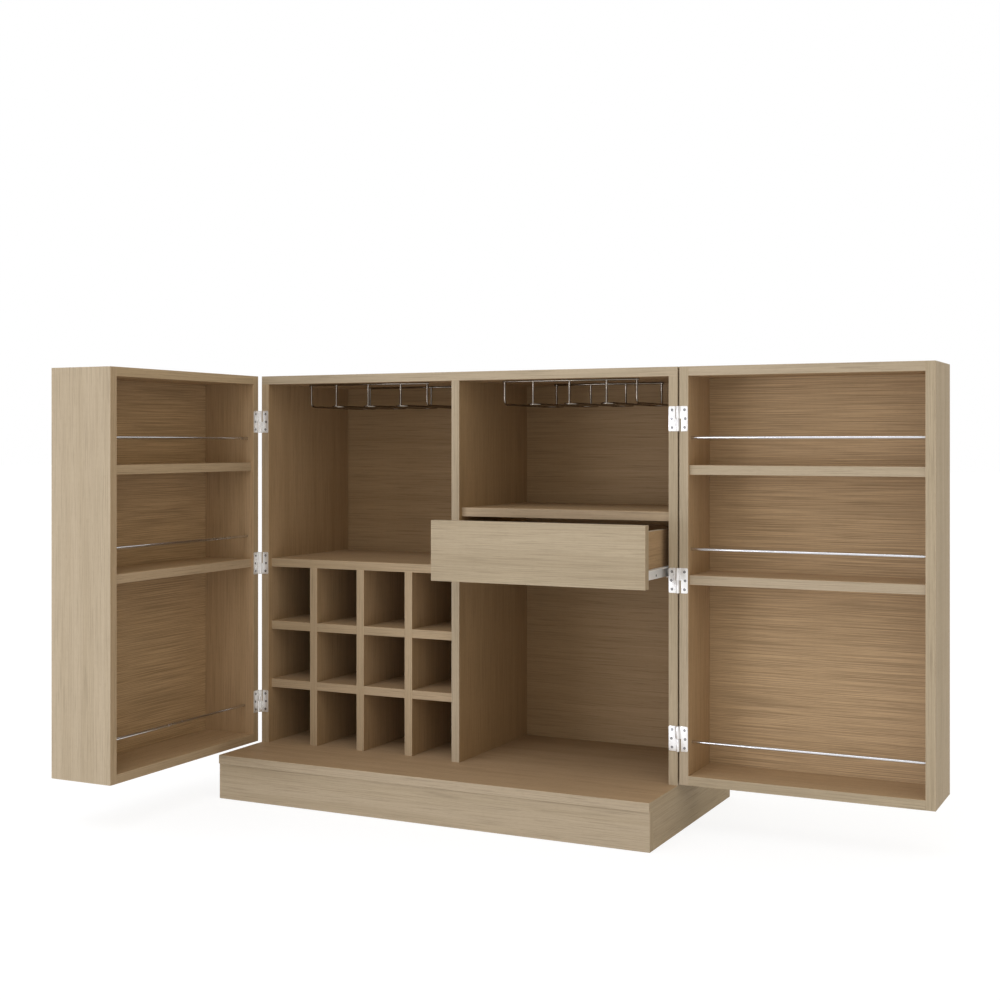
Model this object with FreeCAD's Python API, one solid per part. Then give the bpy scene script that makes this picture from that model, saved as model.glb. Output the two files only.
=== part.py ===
# Bar armoire: a low cabinet on a plinth, with two deep shelved doors, a drawer,
# hanging stemware racks and a grid of bottle cells.
# Millimetres. X runs to the right, Y to the back, Z up.
# The origin is on the floor, under the middle of the plinth.

import FreeCAD
import Part
import math
import os

# Carcass and plinth
body_width = 800.0
body_height = 667.0
board = 15.0
back_thickness = 3.0
plinth_depth = 403.0
plinth_height = 76.0
plinth_front_recess = 2.5
inner_recess = 10.0

# Bottle grid, from its lowest row of cells to its highest
wine_columns = 4
wine_cell_heights = {"lower": 100.0, "upper": 91.0}
wine_top_cell_height = 99.0
halving_play = 0.1

# Carcass dowels
dowel_radius = 4.0
dowel_in_panel = 20.0
dowel_in_face = 10.0
dowel_end_distance = 50.0

# Doors
door_depth = 122.0
door_meeting_gap = 4.0
door_floor_gap = 2.0
door_shelf_recess = 5.0
lower_door_shelf_share = 0.48
upper_door_shelf_share = 0.742
left_door_open_angle = 90.0
right_door_open_angle = 180.0

# Bottle rails across the doors: height over the board below and distance behind the door's edge
rail_radius = 2.25
rail_rises = {"bottom": 51.0, "lower": 41.0, "upper": 44.0}
rail_recesses = {"bottom": 20.0, "lower": 14.0, "upper": 14.0}
rail_socket_depth = 8.0
rail_play = 0.05

# Hinges
hinge_axis_out = 1.5
hinge_axis_front = 3.0
hinge_height = 40.0
hinge_low_distance = 75.0
hinge_high_distance = 83.0
hinge_middle_share = 0.4895
leaf_thickness = 1.2
leaf_edge_inset = 0.5
leaf_corner_cut = 1.5
knuckle_clearance = 0.25
knuckle_gap = 0.2
pin_radius = 1.25
pin_play = 0.05
pin_end_inset = 0.6
hinge_screw_pitch = 14.0
hinge_screw_shift = 1.5
hinge_screw_stagger = 1.0

# Countersunk wood screws
screw_head_radius = 2.1
screw_core_radius = 1.0
screw_length = 11.0

# Drawer
drawer_shelf_rise = 420.0
drawer_top_gap = 1.5
drawer_front_height = 99.5
drawer_front_gap = 1.1
drawer_recess = 2.0
drawer_pull = 104.0
drawer_board = 12.0
drawer_back_gap = 20.0
drawer_side_lift = 12.5
drawer_side_drop = 12.5
drawer_bottom_thickness = 3.0
drawer_groove_depth = 5.0
drawer_groove_rise = 8.0

# Drawer slides and their rollers
slide_gap = 12.5
slide_thickness = 1.2
slide_leg_height = 15.5
slide_flange = 10.2
slide_under_flange = 11.0
slide_front_gap = 1.0
slide_lip_gap = 0.6
slide_screw_distance = 60.0
roller_radius = 6.5
roller_width = 6.0
roller_side_gap = 1.0
roller_end_distance = 10.0
rolling_clearance = 0.3
axle_radius = 2.0
axle_play = 0.05
rivet_head_radius = 3.0
rivet_head_thickness = 0.5
rivet_gap = 0.1

# Stemware racks
wire_radius = 1.75
rack_slots = 4
rack_slot_width = 40.0
rack_loop_width = 27.0
rack_recess = 37.5
rack_back_gap = 62.0
rack_drop = 41.0
rack_bend_radius = 8.0
rack_bar_overhang = 4.0
rack_tab_width = 14.0
rack_tab_length = 16.0
rack_tab_thickness = 1.5

# Sides of the small round pieces, and the angle between the steps of a wire's bend
wire_sides = 8
screw_sides = 6
dowel_sides = 6
knuckle_sides = 12
wire_bend_step = 18.0

# Construction values
cut_overrun = 1.0
mitred_corners = 1
quarter_turn = 90.0
half_turn = 180.0
full_turn = 360.0

# Planes that the pieces share
door_closed_gap = hinge_axis_front + hinge_axis_front
plinth_front = -plinth_depth / 2
plinth_back = plinth_depth / 2
body_front = plinth_front + door_depth + door_closed_gap
panel_back = plinth_back - back_thickness
inner_front = body_front + inner_recess
plinth_rim = plinth_height - board
body_top = plinth_height + body_height
ceiling = body_top - board
side_out = body_width / 2
side_in = side_out - board
divider_half = board / 2
compartment_width = side_in - divider_half
compartment_middle = (side_in + divider_half) / 2

# Planes of a closed door
door_inner = body_front - door_closed_gap
door_outer = door_inner - door_depth
door_panel_inner = door_outer + board
door_free_edge = door_meeting_gap / 2
door_bottom = plinth_height + door_floor_gap
hinge_x = side_out + hinge_axis_out
hinge_y = body_front - hinge_axis_front
hinge_levels = (
    plinth_height + hinge_low_distance,
    plinth_height + hinge_middle_share * body_height,
    body_top - hinge_high_distance,
)
knuckle_radius = hinge_axis_front - knuckle_clearance

# Planes of the closed drawer
drawer_ceiling = plinth_height + drawer_shelf_rise
drawer_front_top = drawer_ceiling - drawer_top_gap
drawer_front_bottom = drawer_front_top - drawer_front_height
drawer_face = body_front + drawer_recess
drawer_box_front = drawer_face + board
drawer_box_back = panel_back - drawer_back_gap
drawer_side_bottom = drawer_front_bottom + drawer_side_lift
drawer_side_top = drawer_front_top - drawer_side_drop
drawer_left_out = divider_half + slide_gap
drawer_right_out = side_in - slide_gap

# Levels of the slides, set by the drawer's lower edge
slide_run_level = drawer_side_bottom + slide_leg_height - slide_thickness
channel_height = 2 * (roller_radius + rolling_clearance + slide_thickness)
channel_bottom = slide_run_level - slide_lip_gap - channel_height
channel_front = drawer_box_front + slide_front_gap
channel_back = drawer_box_back + slide_front_gap
front_roller_y = channel_front + roller_end_distance
front_roller_z = slide_run_level - rolling_clearance - roller_radius
rear_roller_y = drawer_box_back - roller_end_distance
rear_roller_z = channel_bottom + slide_thickness + rolling_clearance + roller_radius

# Levels and pitch of the racks
rack_front = body_front + rack_recess
rack_back = panel_back - rack_back_gap
rack_bar_level = ceiling - wire_radius
rack_run_level = ceiling - rack_drop
rack_pitch = rack_slot_width + rack_loop_width
rack_half_width = (rack_slots * rack_pitch - rack_loop_width) / 2

UP = FreeCAD.Vector(0, 0, 1)
RIGHT = FreeCAD.Vector(1, 0, 0)
BACKWARD = FreeCAD.Vector(0, 1, 0)
CENTRE = FreeCAD.Vector(0, 0, 0)


# Basic solids

def point(x, y, z):
    """A point in the part's frame."""
    return FreeCAD.Vector(x, y, z)


def block(x_span, y_span, z_span):
    """A board or plate between two limits on each axis, given in either order."""
    corner = point(min(x_span), min(y_span), min(z_span))
    length, width, height = [max(span) - min(span) for span in (x_span, y_span, z_span)]
    return Part.makeBox(length, width, height, corner)


def rod(start, end, radius):
    """A round bar from one point to another."""
    run = end.sub(start)
    return Part.makeCylinder(radius, run.Length, start, run)


def sheet(corners):
    """A flat face inside a closed run of corners."""
    return Part.Face(Part.makePolygon(corners + corners[:1]))


def ring(radius, distance, sides):
    """Corners of a flat-sided round, or its one point where the radius is nothing."""
    if radius == 0:
        return [point(0, 0, distance)]
    step = math.radians(full_turn / sides)
    reach = radius / math.cos(step / 2)
    angles = [step * side + step / 2 for side in range(sides)]
    return [point(reach * math.cos(angle), reach * math.sin(angle), distance) for angle in angles]


def flat_sided(outline, sides, seat, direction):
    """A round piece with flat sides, from (radius, distance) pairs, set on its seat along a direction."""
    rings = [ring(radius, distance, sides) for radius, distance in outline]
    faces = [sheet(corners) for corners in (rings[0], rings[-1]) if len(corners) > 1]
    for near, far in zip(rings, rings[1:]):
        for side in range(sides):
            following = (side + 1) % sides
            far_corners = [far[following], far[side]] if len(far) > 1 else far
            faces.append(sheet([near[side], near[following]] + far_corners))
    solid = Part.Solid(Part.Shell(faces))
    if solid.Volume < 0:
        solid.reverse()
    solid.Placement = FreeCAD.Placement(seat, FreeCAD.Rotation(UP, direction))
    return solid


def flat_sided_rod(start, end, radius, sides):
    """A straight bar with flat sides from one point to another."""
    run = end.sub(start)
    return flat_sided([(radius, 0), (radius, run.Length)], sides, start, run)


def wood_screw(seat, direction, head_depth):
    """A countersunk screw whose flat head lies at the seat and whose point runs along the direction."""
    outline = [(screw_head_radius, 0), (screw_core_radius, head_depth), (0, screw_length)]
    return flat_sided(outline, screw_sides, seat, direction)


def without(shape, tools):
    """A shape with each of the tools cut out of it."""
    for tool in tools:
        shape = shape.cut(tool)
    return shape


def group(solids):
    """Several separate solids of one node."""
    return Part.makeCompound(solids)


def mirrored(shape):
    """The same shape on the other side of the cabinet's middle."""
    return shape.mirror(CENTRE, RIGHT)


def swung(shape, x, y, angle):
    """A shape turned about an upright axis."""
    moved = shape.copy()
    moved.rotate(point(x, y, 0), UP, angle)
    return moved


def slid(shape, distance):
    """A shape moved along Y."""
    moved = shape.copy()
    moved.translate(BACKWARD * distance)
    return moved


# Plinth

def plinth():
    """The open frame of boards on the floor; the top board is made with the carcass."""
    front_face = plinth_front + plinth_front_recess
    front_inner = front_face + board
    back_inner = plinth_back - board
    level = (0, plinth_rim)
    width = (-side_out, side_out)
    between = (front_inner, back_inner)
    return {
        "plinth_front_board": block(width, (front_face, front_inner), level),
        "plinth_back_board": block(width, (back_inner, plinth_back), level),
        "plinth_left_board": block((-side_out, -side_in), between, level),
        "plinth_right_board": block((side_in, side_out), between, level),
        "plinth_centre_rail": block((-divider_half, divider_half), between, level),
    }


# Carcass, with its dowels

def carcass_dowels():
    """Upright dowels that join the sides and the divider to the top panel and to the plinth's top board."""
    dowels = []
    side_middle = (side_in + side_out) / 2
    for x in (-side_middle, 0, side_middle):
        for y in (body_front + dowel_end_distance, panel_back - dowel_end_distance):
            spans = (
                (plinth_height - dowel_in_face, plinth_height + dowel_in_panel),
                (ceiling - dowel_in_panel, ceiling + dowel_in_face),
            )
            for span in spans:
                ends = [point(x, y, height) for height in span]
                dowels.append(flat_sided_rod(*ends, dowel_radius, dowel_sides))
    return dowels


def carcass(dowels):
    """The boards of the cabinet, drilled for the dowels."""
    depth = (body_front, panel_back)
    height = (plinth_height, ceiling)
    shelf_depth = (inner_front, panel_back)
    left_shelf_bottom = plinth_height + wine_top_cell_height
    for cell_height in wine_cell_heights.values():
        left_shelf_bottom += cell_height + board
    shelf_top = drawer_ceiling + board
    width = (-side_out, side_out)
    drilled = {
        "plinth_top_board": block(width, (plinth_front, plinth_back), (plinth_rim, plinth_height)),
        "left_side_panel": block((-side_out, -side_in), depth, height),
        "right_side_panel": block((side_in, side_out), depth, height),
        "centre_divider": block((-divider_half, divider_half), depth, height),
        "top_panel": block(width, depth, (ceiling, body_top)),
    }
    nodes = {name: without(shape, dowels) for name, shape in drilled.items()}
    nodes["back_panel"] = block(width, (panel_back, plinth_back), (plinth_height, body_top))
    left_span = (-side_in, -divider_half)
    right_span = (divider_half, side_in)
    nodes["left_shelf"] = block(left_span, shelf_depth, (left_shelf_bottom, left_shelf_bottom + board))
    nodes["drawer_shelf"] = block(right_span, shelf_depth, (drawer_ceiling, shelf_top))
    nodes["carcass_dowels"] = group(dowels)
    return nodes


# Bottle grid of cross-halved boards

def wine_grid():
    """Uprights slotted from the back and shelves slotted from the front, so that they slide together."""
    middle = (inner_front + panel_back) / 2
    cell_width = (compartment_width - (wine_columns - 1) * board) / wine_columns
    grid_height = wine_top_cell_height + sum(wine_cell_heights.values()) + len(wine_cell_heights) * board
    grid_top = plinth_height + grid_height
    upright_names = ["left", "middle", "right"]
    upright_spans = []
    for column in range(1, wine_columns):
        start = -side_in + column * (cell_width + board) - board
        upright_spans.append((start, start + board))
    shelf_spans = {}
    level = plinth_height
    for name, cell_height in wine_cell_heights.items():
        level += cell_height
        shelf_spans[name] = (level, level + board)
        level += board
    nodes = {}
    for name, span in zip(upright_names, upright_spans):
        upright = block(span, (inner_front, panel_back), (plinth_height, grid_top))
        slot_x = (span[0] - cut_overrun, span[1] + cut_overrun)
        for low, high in shelf_spans.values():
            slot_z = (low - halving_play, high + halving_play)
            upright = upright.cut(block(slot_x, (middle, panel_back + cut_overrun), slot_z))
        nodes["wine_upright_" + name] = upright
    for name, span in shelf_spans.items():
        shelf = block((-side_in, -divider_half), (inner_front, panel_back), span)
        slot_z = (span[0] - cut_overrun, span[1] + cut_overrun)
        for left, right in upright_spans:
            slot_x = (left - halving_play, right + halving_play)
            shelf = shelf.cut(block(slot_x, (inner_front - cut_overrun, middle), slot_z))
        nodes["wine_shelf_" + name] = shelf
    return nodes


# Stemware racks

def bend(centre, first, second, angle):
    """Points along a round bend, from the first reach out of its centre towards the second."""
    points = []
    steps = round(angle / wire_bend_step)
    for step in range(steps + 1):
        turn = math.radians(angle * step / steps)
        points.append(centre + first * math.cos(turn) + second * math.sin(turn))
    return points


def rack_wire_path(left):
    """Line of the bent wire: down at the front, back and forth between the stems, and up again."""
    bar_end = rack_bar_level - wire_radius
    run = rack_run_level
    drop = rack_bend_radius
    slot_turn = rack_slot_width / 2
    loop_turn = rack_loop_width / 2
    corner = point(left, rack_front + drop, run + drop)
    points = [point(left, rack_front, bar_end)]
    points += bend(corner, BACKWARD * -drop, UP * -drop, quarter_turn)
    x = left
    for slot in range(rack_slots):
        middle = point(x + slot_turn, rack_back - slot_turn, run)
        points += bend(middle, RIGHT * -slot_turn, BACKWARD * slot_turn, half_turn)
        x += rack_slot_width
        if slot < rack_slots - 1:
            middle = point(x + loop_turn, rack_front + loop_turn, run)
            points += bend(middle, RIGHT * -loop_turn, BACKWARD * -loop_turn, half_turn)
            x += rack_loop_width
    corner = point(x, rack_front + drop, run + drop)
    points += bend(corner, UP * -drop, BACKWARD * -drop, quarter_turn)
    points.append(point(x, rack_front, bar_end))
    return points


def rack_bar(y, half_length, tab_places, centre):
    """A top bar against the ceiling, with flat tabs behind it, and the screws of its tabs."""
    start = point(centre - half_length, y, rack_bar_level)
    end = point(centre + half_length, y, rack_bar_level)
    bar = flat_sided_rod(start, end, wire_radius, wire_sides)
    screws = []
    tab_bottom = ceiling - rack_tab_thickness
    for place in tab_places:
        x = centre + place
        tab_x = (x - rack_tab_width / 2, x + rack_tab_width / 2)
        bar = bar.fuse(block(tab_x, (y, y + rack_tab_length), (tab_bottom, ceiling)))
        seat_y = y + (wire_radius + rack_tab_length) / 2
        screws.append(wood_screw(point(x, seat_y, tab_bottom), UP, rack_tab_thickness))
    return without(bar.removeSplitter(), screws), screws


def rack(centre):
    """A rack's bent runner, its hangers and its screws."""
    path = rack_wire_path(centre - rack_half_width)
    section = sheet(ring(wire_radius, 0, wire_sides)).OuterWire
    section.translate(path[0])
    runner = Part.makePolygon(path).makePipeShell([section], True, False, mitred_corners)
    slot_places = []
    for slot in range(rack_slots):
        slot_places.append(slot * rack_pitch + rack_slot_width / 2 - rack_half_width)
    loop_places = [place + rack_pitch / 2 for place in slot_places[:-1]]
    front_half = rack_half_width + rack_bar_overhang
    back_half = slot_places[-1] + rack_bar_overhang
    front_bar, front_screws = rack_bar(rack_front, front_half, slot_places[1:-1], centre)
    back_bar, back_screws = rack_bar(rack_back, back_half, (loop_places[0], loop_places[-1]), centre)
    droppers = []
    for y, places in ((rack_front, loop_places), (rack_back, slot_places)):
        for place in places:
            low = point(centre + place, y, rack_run_level + wire_radius)
            high = point(centre + place, y, rack_bar_level - wire_radius)
            droppers.append(flat_sided_rod(low, high, wire_radius, wire_sides))
    hangers = group([front_bar, back_bar] + droppers)
    return runner, hangers, front_screws + back_screws


# Hinges, made for the right side of the closed cabinet

def hinge_leaf(z):
    """A leaf on the panel's front edge, with the lower knuckle and a notch for the upper one."""
    low = z - hinge_height / 2
    high = z + hinge_height / 2
    rim = z - knuckle_gap / 2
    edge = side_in + leaf_edge_inset
    inset = edge + leaf_corner_cut
    notch = hinge_x - knuckle_radius - knuckle_clearance
    outline = [
        (hinge_x, low),
        (inset, low),
        (edge, low + leaf_corner_cut),
        (edge, high - leaf_corner_cut),
        (inset, high),
        (notch, high),
        (notch, rim),
        (hinge_x, rim),
    ]
    corners = [point(x, body_front, height) for x, height in outline]
    plate = sheet(corners).extrude(BACKWARD * -leaf_thickness)
    knuckle_ends = [point(hinge_x, hinge_y, height) for height in (low, rim)]
    return plate.fuse(flat_sided_rod(*knuckle_ends, knuckle_radius, knuckle_sides))


def hinge_screws(z):
    """The three screws of the body's leaf, the middle one a little further from the knuckle."""
    line = (side_in + side_out) / 2 - hinge_screw_shift
    places = (
        (line, z - hinge_screw_pitch),
        (line - hinge_screw_stagger, z),
        (line, z + hinge_screw_pitch),
    )
    screws = []
    for x, height in places:
        seat = point(x, body_front - leaf_thickness, height)
        screws.append(wood_screw(seat, BACKWARD, leaf_thickness))
    return screws


def over(shape, z):
    """The door's half of a hinge: the body's half turned over about the line through the knuckles."""
    turned_over = shape.copy()
    turned_over.rotate(point(hinge_x, hinge_y, z), RIGHT, half_turn)
    return turned_over


def hinges():
    """Leaves and screws of one side's hinges: the body's, which carry the pins, and the closed door's."""
    sets = {"body_leaves": [], "body_screws": [], "door_leaves": [], "door_screws": []}
    for z in hinge_levels:
        screws = hinge_screws(z)
        leaf = without(hinge_leaf(z), screws)
        pin_low = point(hinge_x, hinge_y, z - knuckle_gap / 2)
        pin_high = point(hinge_x, hinge_y, z + hinge_height / 2 - pin_end_inset)
        bore_low = point(hinge_x, hinge_y, z)
        bore_high = point(hinge_x, hinge_y, z + hinge_height / 2 + cut_overrun)
        sets["body_leaves"].append(leaf.fuse(rod(pin_low, pin_high, pin_radius)))
        sets["body_screws"].extend(screws)
        sets["door_leaves"].append(over(leaf, z).cut(rod(bore_low, bore_high, pin_radius + pin_play)))
        sets["door_screws"].extend([over(screw, z) for screw in screws])
    return sets


# Doors, made closed on the right side

def door(hinge_set):
    """The boards, rails and hinge leaves of the right door, closed."""
    free_inner = door_free_edge + board
    depth = (door_inner, door_outer)
    inside = (free_inner, side_in)
    height = (door_bottom, body_top)
    floor_top = door_bottom + board
    roof_bottom = body_top - board
    shelf_depth = (door_inner - door_shelf_recess, door_panel_inner)
    panel_depth = (door_panel_inner, door_outer)
    shelf_levels = {
        "lower": plinth_height + lower_door_shelf_share * body_height,
        "upper": plinth_height + upper_door_shelf_share * body_height,
    }
    bases = {"bottom": floor_top}
    for name, level in shelf_levels.items():
        bases[name] = level + board
    rails = []
    sockets = []
    for name, base in bases.items():
        y = door_inner - rail_recesses[name]
        z = base + rail_rises[name]
        left_end = point(free_inner - rail_socket_depth, y, z)
        right_end = point(side_in + rail_socket_depth, y, z)
        rails.append(flat_sided_rod(left_end, right_end, rail_radius, wire_sides))
        sockets.append(flat_sided_rod(left_end, right_end, rail_radius + rail_play, wire_sides))
    hinge_stile = block((side_in, side_out), depth, height)
    free_stile = block((door_free_edge, free_inner), depth, height)
    nodes = {
        "hinge_stile": without(hinge_stile, sockets + hinge_set["door_screws"]),
        "free_stile": without(free_stile, sockets),
        "top": block(inside, depth, (roof_bottom, body_top)),
        "bottom": block(inside, depth, (door_bottom, floor_top)),
        "outer_panel": block(inside, panel_depth, (floor_top, roof_bottom)),
        "rails": group(rails),
        "hinge_leaves": group(hinge_set["door_leaves"]),
        "hinge_screws": group(hinge_set["door_screws"]),
    }
    for name, level in shelf_levels.items():
        nodes[name + "_shelf"] = block(inside, shelf_depth, (level, level + board))
    return nodes


def open_doors(hinge_set):
    """Both doors, swung open on their hinges."""
    nodes = {}
    for name, shape in door(hinge_set).items():
        nodes["right_door_" + name] = swung(shape, hinge_x, hinge_y, right_door_open_angle)
        nodes["left_door_" + name] = swung(mirrored(shape), -hinge_x, hinge_y, -left_door_open_angle)
    return nodes


# Drawer box, closed

def drawer_box():
    """The front, the grooved sides and back, and the bottom that lies in their grooves."""
    left_in = drawer_left_out + drawer_board
    right_in = drawer_right_out - drawer_board
    back_inner = drawer_box_back - drawer_board
    bottom_level = drawer_side_bottom + drawer_groove_rise
    bottom = block(
        (left_in - drawer_groove_depth, right_in + drawer_groove_depth),
        (drawer_box_front - drawer_groove_depth, back_inner + drawer_groove_depth),
        (bottom_level, bottom_level + drawer_bottom_thickness),
    )
    depth = (drawer_box_front, drawer_box_back)
    height = (drawer_side_bottom, drawer_side_top)
    front_x = (divider_half + drawer_front_gap, side_in - drawer_front_gap)
    front_y = (drawer_face, drawer_box_front)
    front_z = (drawer_front_bottom, drawer_front_top)
    nodes = {
        "drawer_front": block(front_x, front_y, front_z),
        "drawer_left_side": block((drawer_left_out, left_in), depth, height),
        "drawer_right_side": block((right_in, drawer_right_out), depth, height),
        "drawer_back": block((left_in, right_in), (back_inner, drawer_box_back), height),
    }
    grooved = {name: shape.cut(bottom) for name, shape in nodes.items()}
    grooved["drawer_bottom"] = bottom
    return grooved


# Drawer slides

def slide_bar(face_x, outward, outline, y_span):
    """A rolled profile from an outline of (distance from the face, level) pairs, run along Y."""
    corners = [point(face_x + outward * distance, min(y_span), level) for distance, level in outline]
    return sheet(corners).extrude(BACKWARD * (max(y_span) - min(y_span)))


def channel_outline():
    """Section of the cabinet's channel: a web on the wall with a flange below and a lip above."""
    low = channel_bottom
    high = channel_bottom + channel_height
    return [
        (0, low),
        (slide_flange, low),
        (slide_flange, low + slide_thickness),
        (slide_thickness, low + slide_thickness),
        (slide_thickness, high - slide_thickness),
        (slide_flange, high - slide_thickness),
        (slide_flange, high),
        (0, high),
    ]


def runner_outline():
    """Section of the drawer's runner: a leg beside the drawer, a foot under it and a flange that rolls."""
    foot = drawer_side_bottom - slide_thickness
    high = drawer_side_bottom + slide_leg_height
    return [
        (-slide_under_flange, foot),
        (slide_thickness, foot),
        (slide_thickness, slide_run_level),
        (slide_flange, slide_run_level),
        (slide_flange, high),
        (0, high),
        (0, drawer_side_bottom),
        (-slide_under_flange, drawer_side_bottom),
    ]


def axle(face_x, outward, y, z, roller_start):
    """A riveted stub that carries a roller, from the profile's web to the rivet's head."""
    start = point(face_x + outward * slide_thickness, y, z)
    head_start = roller_start + roller_width + rivet_gap
    head = point(face_x + outward * head_start, y, z)
    head_end = point(face_x + outward * (head_start + rivet_head_thickness), y, z)
    rivet_head = flat_sided_rod(head, head_end, rivet_head_radius, knuckle_sides)
    return rod(start, head, axle_radius).fuse(rivet_head)


def roller(x_start, y, z):
    """A plastic roller with a bore for its axle, towards +X from its start."""
    start = point(x_start, y, z)
    end = point(x_start + roller_width, y, z)
    return rod(start, end, roller_radius).cut(rod(start, end, axle_radius + axle_play))


def slides():
    """Channels, runners, rollers and screws of both sides, with the drawer closed."""
    sets = {"channels": [], "runners": [], "front_rollers": [], "rear_rollers": []}
    sets["channel_screws"] = []
    sets["runner_screws"] = []
    roller_start = slide_thickness + roller_side_gap
    channel_roller_start = slide_gap - roller_start - roller_width
    lip_low = channel_bottom + channel_height - slide_thickness
    lip_back = front_roller_y + roller_radius + roller_end_distance
    channel_screw_level = channel_bottom + channel_height / 2
    runner_screw_level = drawer_side_bottom + drawer_groove_rise / 2
    screw_places = (channel_front + slide_screw_distance, channel_back - slide_screw_distance)
    sides = ((divider_half, drawer_left_out, 1), (side_in, drawer_right_out, -1))
    for wall, drawer_side, inward in sides:
        channel = slide_bar(wall, inward, channel_outline(), (channel_front, channel_back))
        lip_x = (wall + inward * slide_thickness, wall + inward * (slide_flange + cut_overrun))
        lip_z = (lip_low - cut_overrun, lip_low + slide_thickness + cut_overrun)
        channel = channel.cut(block(lip_x, (channel_front - cut_overrun, lip_back), lip_z))
        channel = channel.fuse(axle(wall, inward, front_roller_y, front_roller_z, channel_roller_start))
        runner_y = (drawer_box_front, drawer_box_back)
        runner = slide_bar(drawer_side, -inward, runner_outline(), runner_y)
        runner = runner.fuse(axle(drawer_side, -inward, rear_roller_y, rear_roller_z, roller_start))
        channel_screws = []
        runner_screws = []
        for y in screw_places:
            channel_seat = point(wall + inward * slide_thickness, y, channel_screw_level)
            channel_screws.append(wood_screw(channel_seat, RIGHT * -inward, slide_thickness))
            runner_seat = point(drawer_side - inward * slide_thickness, y, runner_screw_level)
            runner_screws.append(wood_screw(runner_seat, RIGHT * inward, slide_thickness))
        sets["channels"].append(without(channel, channel_screws))
        sets["runners"].append(without(runner, runner_screws))
        sets["channel_screws"].extend(channel_screws)
        sets["runner_screws"].extend(runner_screws)
        near = drawer_side - inward * roller_start
        roller_x = min(near, near - inward * roller_width)
        sets["front_rollers"].append(roller(roller_x, front_roller_y, front_roller_z))
        sets["rear_rollers"].append(roller(roller_x, rear_roller_y, rear_roller_z))
    return sets


# Assembly

def assembly():
    """Every node of the armoire, with the doors open and the drawer pulled out."""
    nodes = plinth()
    nodes.update(carcass(carcass_dowels()))
    nodes.update(wine_grid())

    rack_screws = []
    for side, centre in (("left", -compartment_middle), ("right", compartment_middle)):
        runner, hangers, screws = rack(centre)
        nodes[side + "_rack_runner"] = runner
        nodes[side + "_rack_hangers"] = hangers
        rack_screws.extend(screws)
    nodes["rack_screws"] = group(rack_screws)
    nodes["top_panel"] = without(nodes["top_panel"], rack_screws)

    hinge_set = hinges()
    both_sides = {}
    for name in ("body_leaves", "body_screws"):
        both_sides[name] = hinge_set[name] + [mirrored(shape) for shape in hinge_set[name]]
    nodes["body_hinge_leaves"] = group(both_sides["body_leaves"])
    nodes["body_hinge_screws"] = group(both_sides["body_screws"])
    for name in ("left_side_panel", "right_side_panel"):
        nodes[name] = without(nodes[name], both_sides["body_screws"])
    nodes.update(open_doors(hinge_set))

    slide_set = slides()
    nodes["left_cabinet_channel"], nodes["right_cabinet_channel"] = slide_set["channels"]
    nodes["cabinet_channel_screws"] = group(slide_set["channel_screws"])
    nodes["front_rollers"] = group(slide_set["front_rollers"])
    for name in ("centre_divider", "right_side_panel"):
        nodes[name] = without(nodes[name], slide_set["channel_screws"])

    moving = drawer_box()
    for name in ("drawer_left_side", "drawer_right_side"):
        moving[name] = without(moving[name], slide_set["runner_screws"])
    moving["left_drawer_runner"], moving["right_drawer_runner"] = slide_set["runners"]
    moving["drawer_runner_screws"] = group(slide_set["runner_screws"])
    moving["rear_rollers"] = group(slide_set["rear_rollers"])
    for name, shape in moving.items():
        nodes[name] = slid(shape, -drawer_pull)
    return nodes


os.makedirs("parts", exist_ok=True)
for node_name, node_shape in assembly().items():
    node_shape.exportStep("parts/" + node_name + ".step")
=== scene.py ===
"""Looks of the bar armoire: oak boards, wire racks, door rails, hinges and drawer slides.

Metres. X runs to the right, Y to the back and Z up, with the origin on the floor under the plinth.
"""

import logging
import math
import random
from dataclasses import dataclass
from enum import Enum
from typing import Iterable, Iterator, NamedTuple, Sequence

import bmesh
import bpy
from bmesh.types import BMEdge, BMesh, BMFace, BMVert
from bpy.types import Material, Node, NodeSocket, NodeTree, World
from mathutils import Matrix, Vector


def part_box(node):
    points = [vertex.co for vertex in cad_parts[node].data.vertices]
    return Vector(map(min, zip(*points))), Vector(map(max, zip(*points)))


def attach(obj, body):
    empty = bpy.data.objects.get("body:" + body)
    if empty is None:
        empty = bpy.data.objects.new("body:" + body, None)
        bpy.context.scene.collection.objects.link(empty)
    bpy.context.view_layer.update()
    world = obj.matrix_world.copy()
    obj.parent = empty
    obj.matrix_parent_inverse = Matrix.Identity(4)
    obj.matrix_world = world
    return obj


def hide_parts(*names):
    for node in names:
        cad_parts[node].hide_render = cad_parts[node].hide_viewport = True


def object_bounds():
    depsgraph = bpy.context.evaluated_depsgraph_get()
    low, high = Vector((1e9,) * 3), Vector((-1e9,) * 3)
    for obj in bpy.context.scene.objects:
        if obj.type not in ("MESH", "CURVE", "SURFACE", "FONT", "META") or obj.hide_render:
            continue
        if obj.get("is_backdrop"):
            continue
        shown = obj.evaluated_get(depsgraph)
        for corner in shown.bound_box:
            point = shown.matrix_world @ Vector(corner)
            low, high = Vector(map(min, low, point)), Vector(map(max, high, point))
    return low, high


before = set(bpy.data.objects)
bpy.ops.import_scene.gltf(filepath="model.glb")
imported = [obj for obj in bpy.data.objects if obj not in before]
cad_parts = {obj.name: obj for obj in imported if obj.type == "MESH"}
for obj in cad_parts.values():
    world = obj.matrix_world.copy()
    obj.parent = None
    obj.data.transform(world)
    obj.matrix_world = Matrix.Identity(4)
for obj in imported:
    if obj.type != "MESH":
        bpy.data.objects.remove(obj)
CAD_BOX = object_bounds()
LOG = logging.getLogger("bar_armoire")

Colour = tuple[float, float, float]
Triple = tuple[float, float, float]
Span = tuple[float, float]
Profile = Sequence[tuple[float, float]]

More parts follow.
